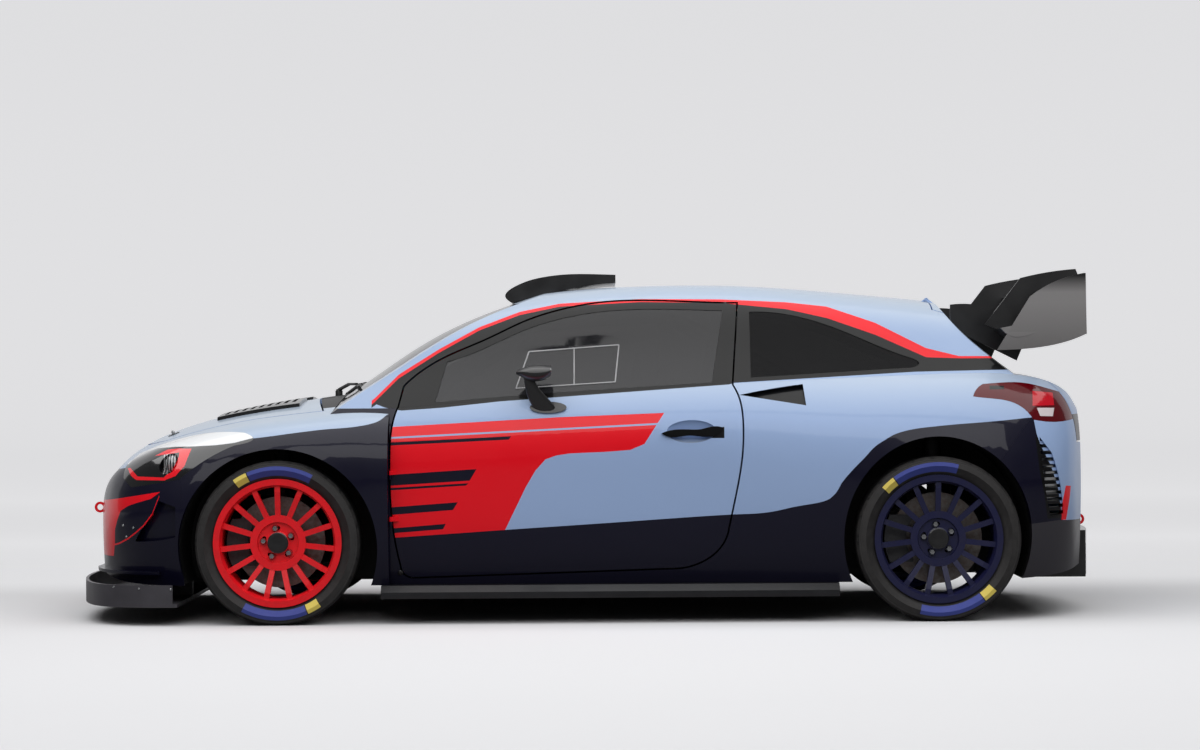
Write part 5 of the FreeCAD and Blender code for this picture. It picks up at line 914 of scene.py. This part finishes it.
WIPERS = {
    "driver": ([(0.900, 0.520), (0.925, 0.300), (0.930, 0.060)], (1.020, 0.100)),
    "co_driver": ([(0.930, -0.010), (0.925, -0.250), (0.900, -0.470)], (1.020, -0.420)),
}
WIPER_HUB = [(0, -0.004), (0.015, -0.004), (0.015, 0.018), (0.011, 0.026), (0, 0.029)]
blade_width = 0.010
blade_height = 0.016
blade_step = 0.03
arm_width = 0.014
arm_height = 0.008
arm_lift = 0.022
arm_bow = 1.3


def wiper(name, blade_line, pivot):
    spots = [from_above("windscreen", x, y) for x, y in spread(blade_line, blade_step)]
    blade = strip(spots, blade_width, blade_height)
    foot = from_above("cowl", *pivot)[0]
    middle_place, facing = spots[len(spots) // 2]
    lift = upwards * arm_lift
    bowed = foot.lerp(middle_place, 0.5) + lift * arm_bow
    over = [foot + lift, bowed, middle_place + facing * blade_height]
    arm = strip([(place, upwards) for place in over], arm_width, arm_height)
    hub = turned(WIPER_HUB, steps=24)
    parts = gathered((blade, still), (arm, still), (hub, stand(foot, upwards)))
    piece("wiper_" + name, parts, "trim", "chassis")


for name, (blade_line, pivot) in WIPERS.items():
    wiper(name, blade_line, pivot)


# Mirror glass, lying on the back of each mirror head at (y, z). Its pane has a radius of 1 until it is scaled

MIRROR_PLACE = (0.864, 0.985)
mirror_half_width = 0.050
mirror_half_height = 0.0145
behind_mirrors = -0.2
PANE = [(0, 0.0), (1.0, 0.0), (1.0, 0.0008), (0.94, 0.0014), (0, 0.0014)]


def mirror_glass(side_name, side):
    y, z = MIRROR_PLACE
    start = Vector((behind_mirrors, side * y, z))
    place = surface("mirror_" + side_name, start, Vector((1, 0, 0)))[0]
    shape = Matrix.Diagonal((mirror_half_height, 1, mirror_half_width, 1))
    facing_back = Matrix.Rotation(math.pi / 2, 4, "Z") @ Matrix.Rotation(math.pi / 2, 4, "Y")
    pane = gathered((turned(PANE, steps=48), Matrix.Translation(place) @ facing_back @ shape))
    piece("mirror_glass_" + side_name, pane, "mirror", "door_" + side_name)


for side_name, side in SIDES:
    mirror_glass(side_name, side)


# Seat belts: shoulder straps as (offset from the seat's middle, z) lines down the front of the seat

seat_middle = 0.360
STRAP = [(0.085, 0.900), (0.070, 0.740), (0.045, 0.560)]
strap_width = 0.045
strap_height = 0.003
strap_step = 0.02
ahead_of_seats = 0.26


def belts(name, seat_y):
    parts = []
    for side in (-1, 1):
        line = [(seat_y + side * offset, z) for offset, z in STRAP]
        spots = [from_ahead("seats", ahead_of_seats, y, z) for y, z in spread(line, strap_step)]
        parts.append((strip(spots, strap_width, strap_height), still))
    piece("belts_" + name, gathered(*parts), "belt", "chassis")


belts("driver", seat_middle)
belts("co_driver", -seat_middle)


# Floor, light and camera

# How strongly the paper glows where it is seen or mirrored, as (y, strength), and the two y between which
# its shade changes towards the camera
PAPER_GLOW = [(-34.0, 0.83), (-12.0, 0.80), (-5.5, 0.60), (-1.8, 0.21), (-1.0, 0.0), (0.0, 0.0)]
SHADE_CHANGE = (0.5, 4.0)
paper_reach = 60.0
paper_near = 40.0
paper_back = -34.0
paper_bend = 6.0
paper_rise = 62.0
bend_steps = 16
world_strength = 0.12


def studio_paper():
    """Paper that is seen and mirrored pale, while it lights the car as a darker one would."""
    graph = Graph("studio_paper")
    rays = graph.tree.nodes.new("ShaderNodeLightPath").outputs
    seen = rays["Is Camera Ray"]
    shown = graph.mix(graph.ramp(graph.y, *SHADE_CHANGE), floor_shade, near_shade)
    clouds = graph.mix(graph.noise(scale=0.4), hidden_shade, hidden_cloud)
    graph.set(Base_Color=graph.mix(seen, clouds, shown), Roughness=0.9, Specular_IOR_Level=0.0)
    shows = graph.either(seen, rays["Is Glossy Ray"], rays["Is Transmission Ray"])
    glow = graph.both(shows, graph.curve(PAPER_GLOW, graph.y))
    graph.set(Emission_Color=pale_paper, Emission_Strength=glow)
    return graph.material


def studio():
    """A pale seamless floor and wall."""
    profile = [(paper_near, 0.0), (paper_back + paper_bend, 0.0)]
    for i in range(1, bend_steps + 1):
        angle = math.pi / 2 * i / bend_steps
        y = paper_back + paper_bend - paper_bend * math.sin(angle)
        profile.append((y, paper_bend - paper_bend * math.cos(angle)))
    profile.append((paper_back, paper_rise))
    work = bmesh.new()
    left, right = [[work.verts.new((x, y, z)) for y, z in profile] for x in (-paper_reach, paper_reach)]
    for i in range(len(profile) - 1):
        work.faces.new((left[i], left[i + 1], right[i + 1], right[i]))
    floor = bpy.data.objects.new("studio_floor", finish_mesh(work, "studio_floor"))
    bpy.context.scene.collection.objects.link(floor)
    floor.data.materials.append(studio_paper())


def lamp(name, place, target, size, power):
    """A soft lamp with a size of width and height, turned to a target."""
    data = bpy.data.lights.new(name, "AREA")
    data.shape = "RECTANGLE"
    data.size, data.size_y = size
    data.energy = power
    light = bpy.data.objects.new(name, data)
    light.location = place
    light.rotation_euler = (Vector(target) - Vector(place)).to_track_quat("-Z", "Y").to_euler()
    bpy.context.scene.collection.objects.link(light)


def world_light():
    world = bpy.data.worlds.new("studio_world")
    world.use_nodes = True
    bpy.context.scene.world = world
    back = world.node_tree.nodes["Background"]
    back.inputs["Color"].default_value = (1, 1, 1, 1)
    back.inputs["Strength"].default_value = world_strength


# The photo's camera, with the lengths in its picture in pixels and its lean as a slope
camera_place = Vector((-0.0576, 13.7, 0.977))
camera_focal_px = 3295.0
photo_width_px = 1200.0
horizon_above_middle_px = 3.0
lean_slope = 0.0065
sensor_mm = 36.0
camera_reach = 200.0


def photo_camera():
    data = bpy.data.cameras.new("photo_camera")
    data.sensor_width = sensor_mm
    data.lens = sensor_mm * camera_focal_px / photo_width_px
    data.shift_y = -horizon_above_middle_px / photo_width_px
    data.clip_end = camera_reach
    camera = bpy.data.objects.new("photo_camera", data)
    level = Matrix.Rotation(math.pi, 4, "Z") @ Matrix.Rotation(math.pi / 2, 4, "X")
    lean = Matrix.Rotation(-math.atan(lean_slope), 4, "Z")
    camera.matrix_world = Matrix.Translation(camera_place) @ level @ lean
    bpy.context.scene.collection.objects.link(camera)
    bpy.context.scene.camera = camera


studio()
world_light()
lamp("ceiling", place=(0.0, 2.0, 6.0), target=(0.0, 2.0, 0.0), size=(14.0, 8.0), power=680.0)
lamp("high_side", place=(0.0, 7.6, 4.6), target=(0.0, 0.0, 0.6), size=(12.0, 3.2), power=254.0)
photo_camera()
bpy.context.scene.view_settings.view_transform = "Standard"
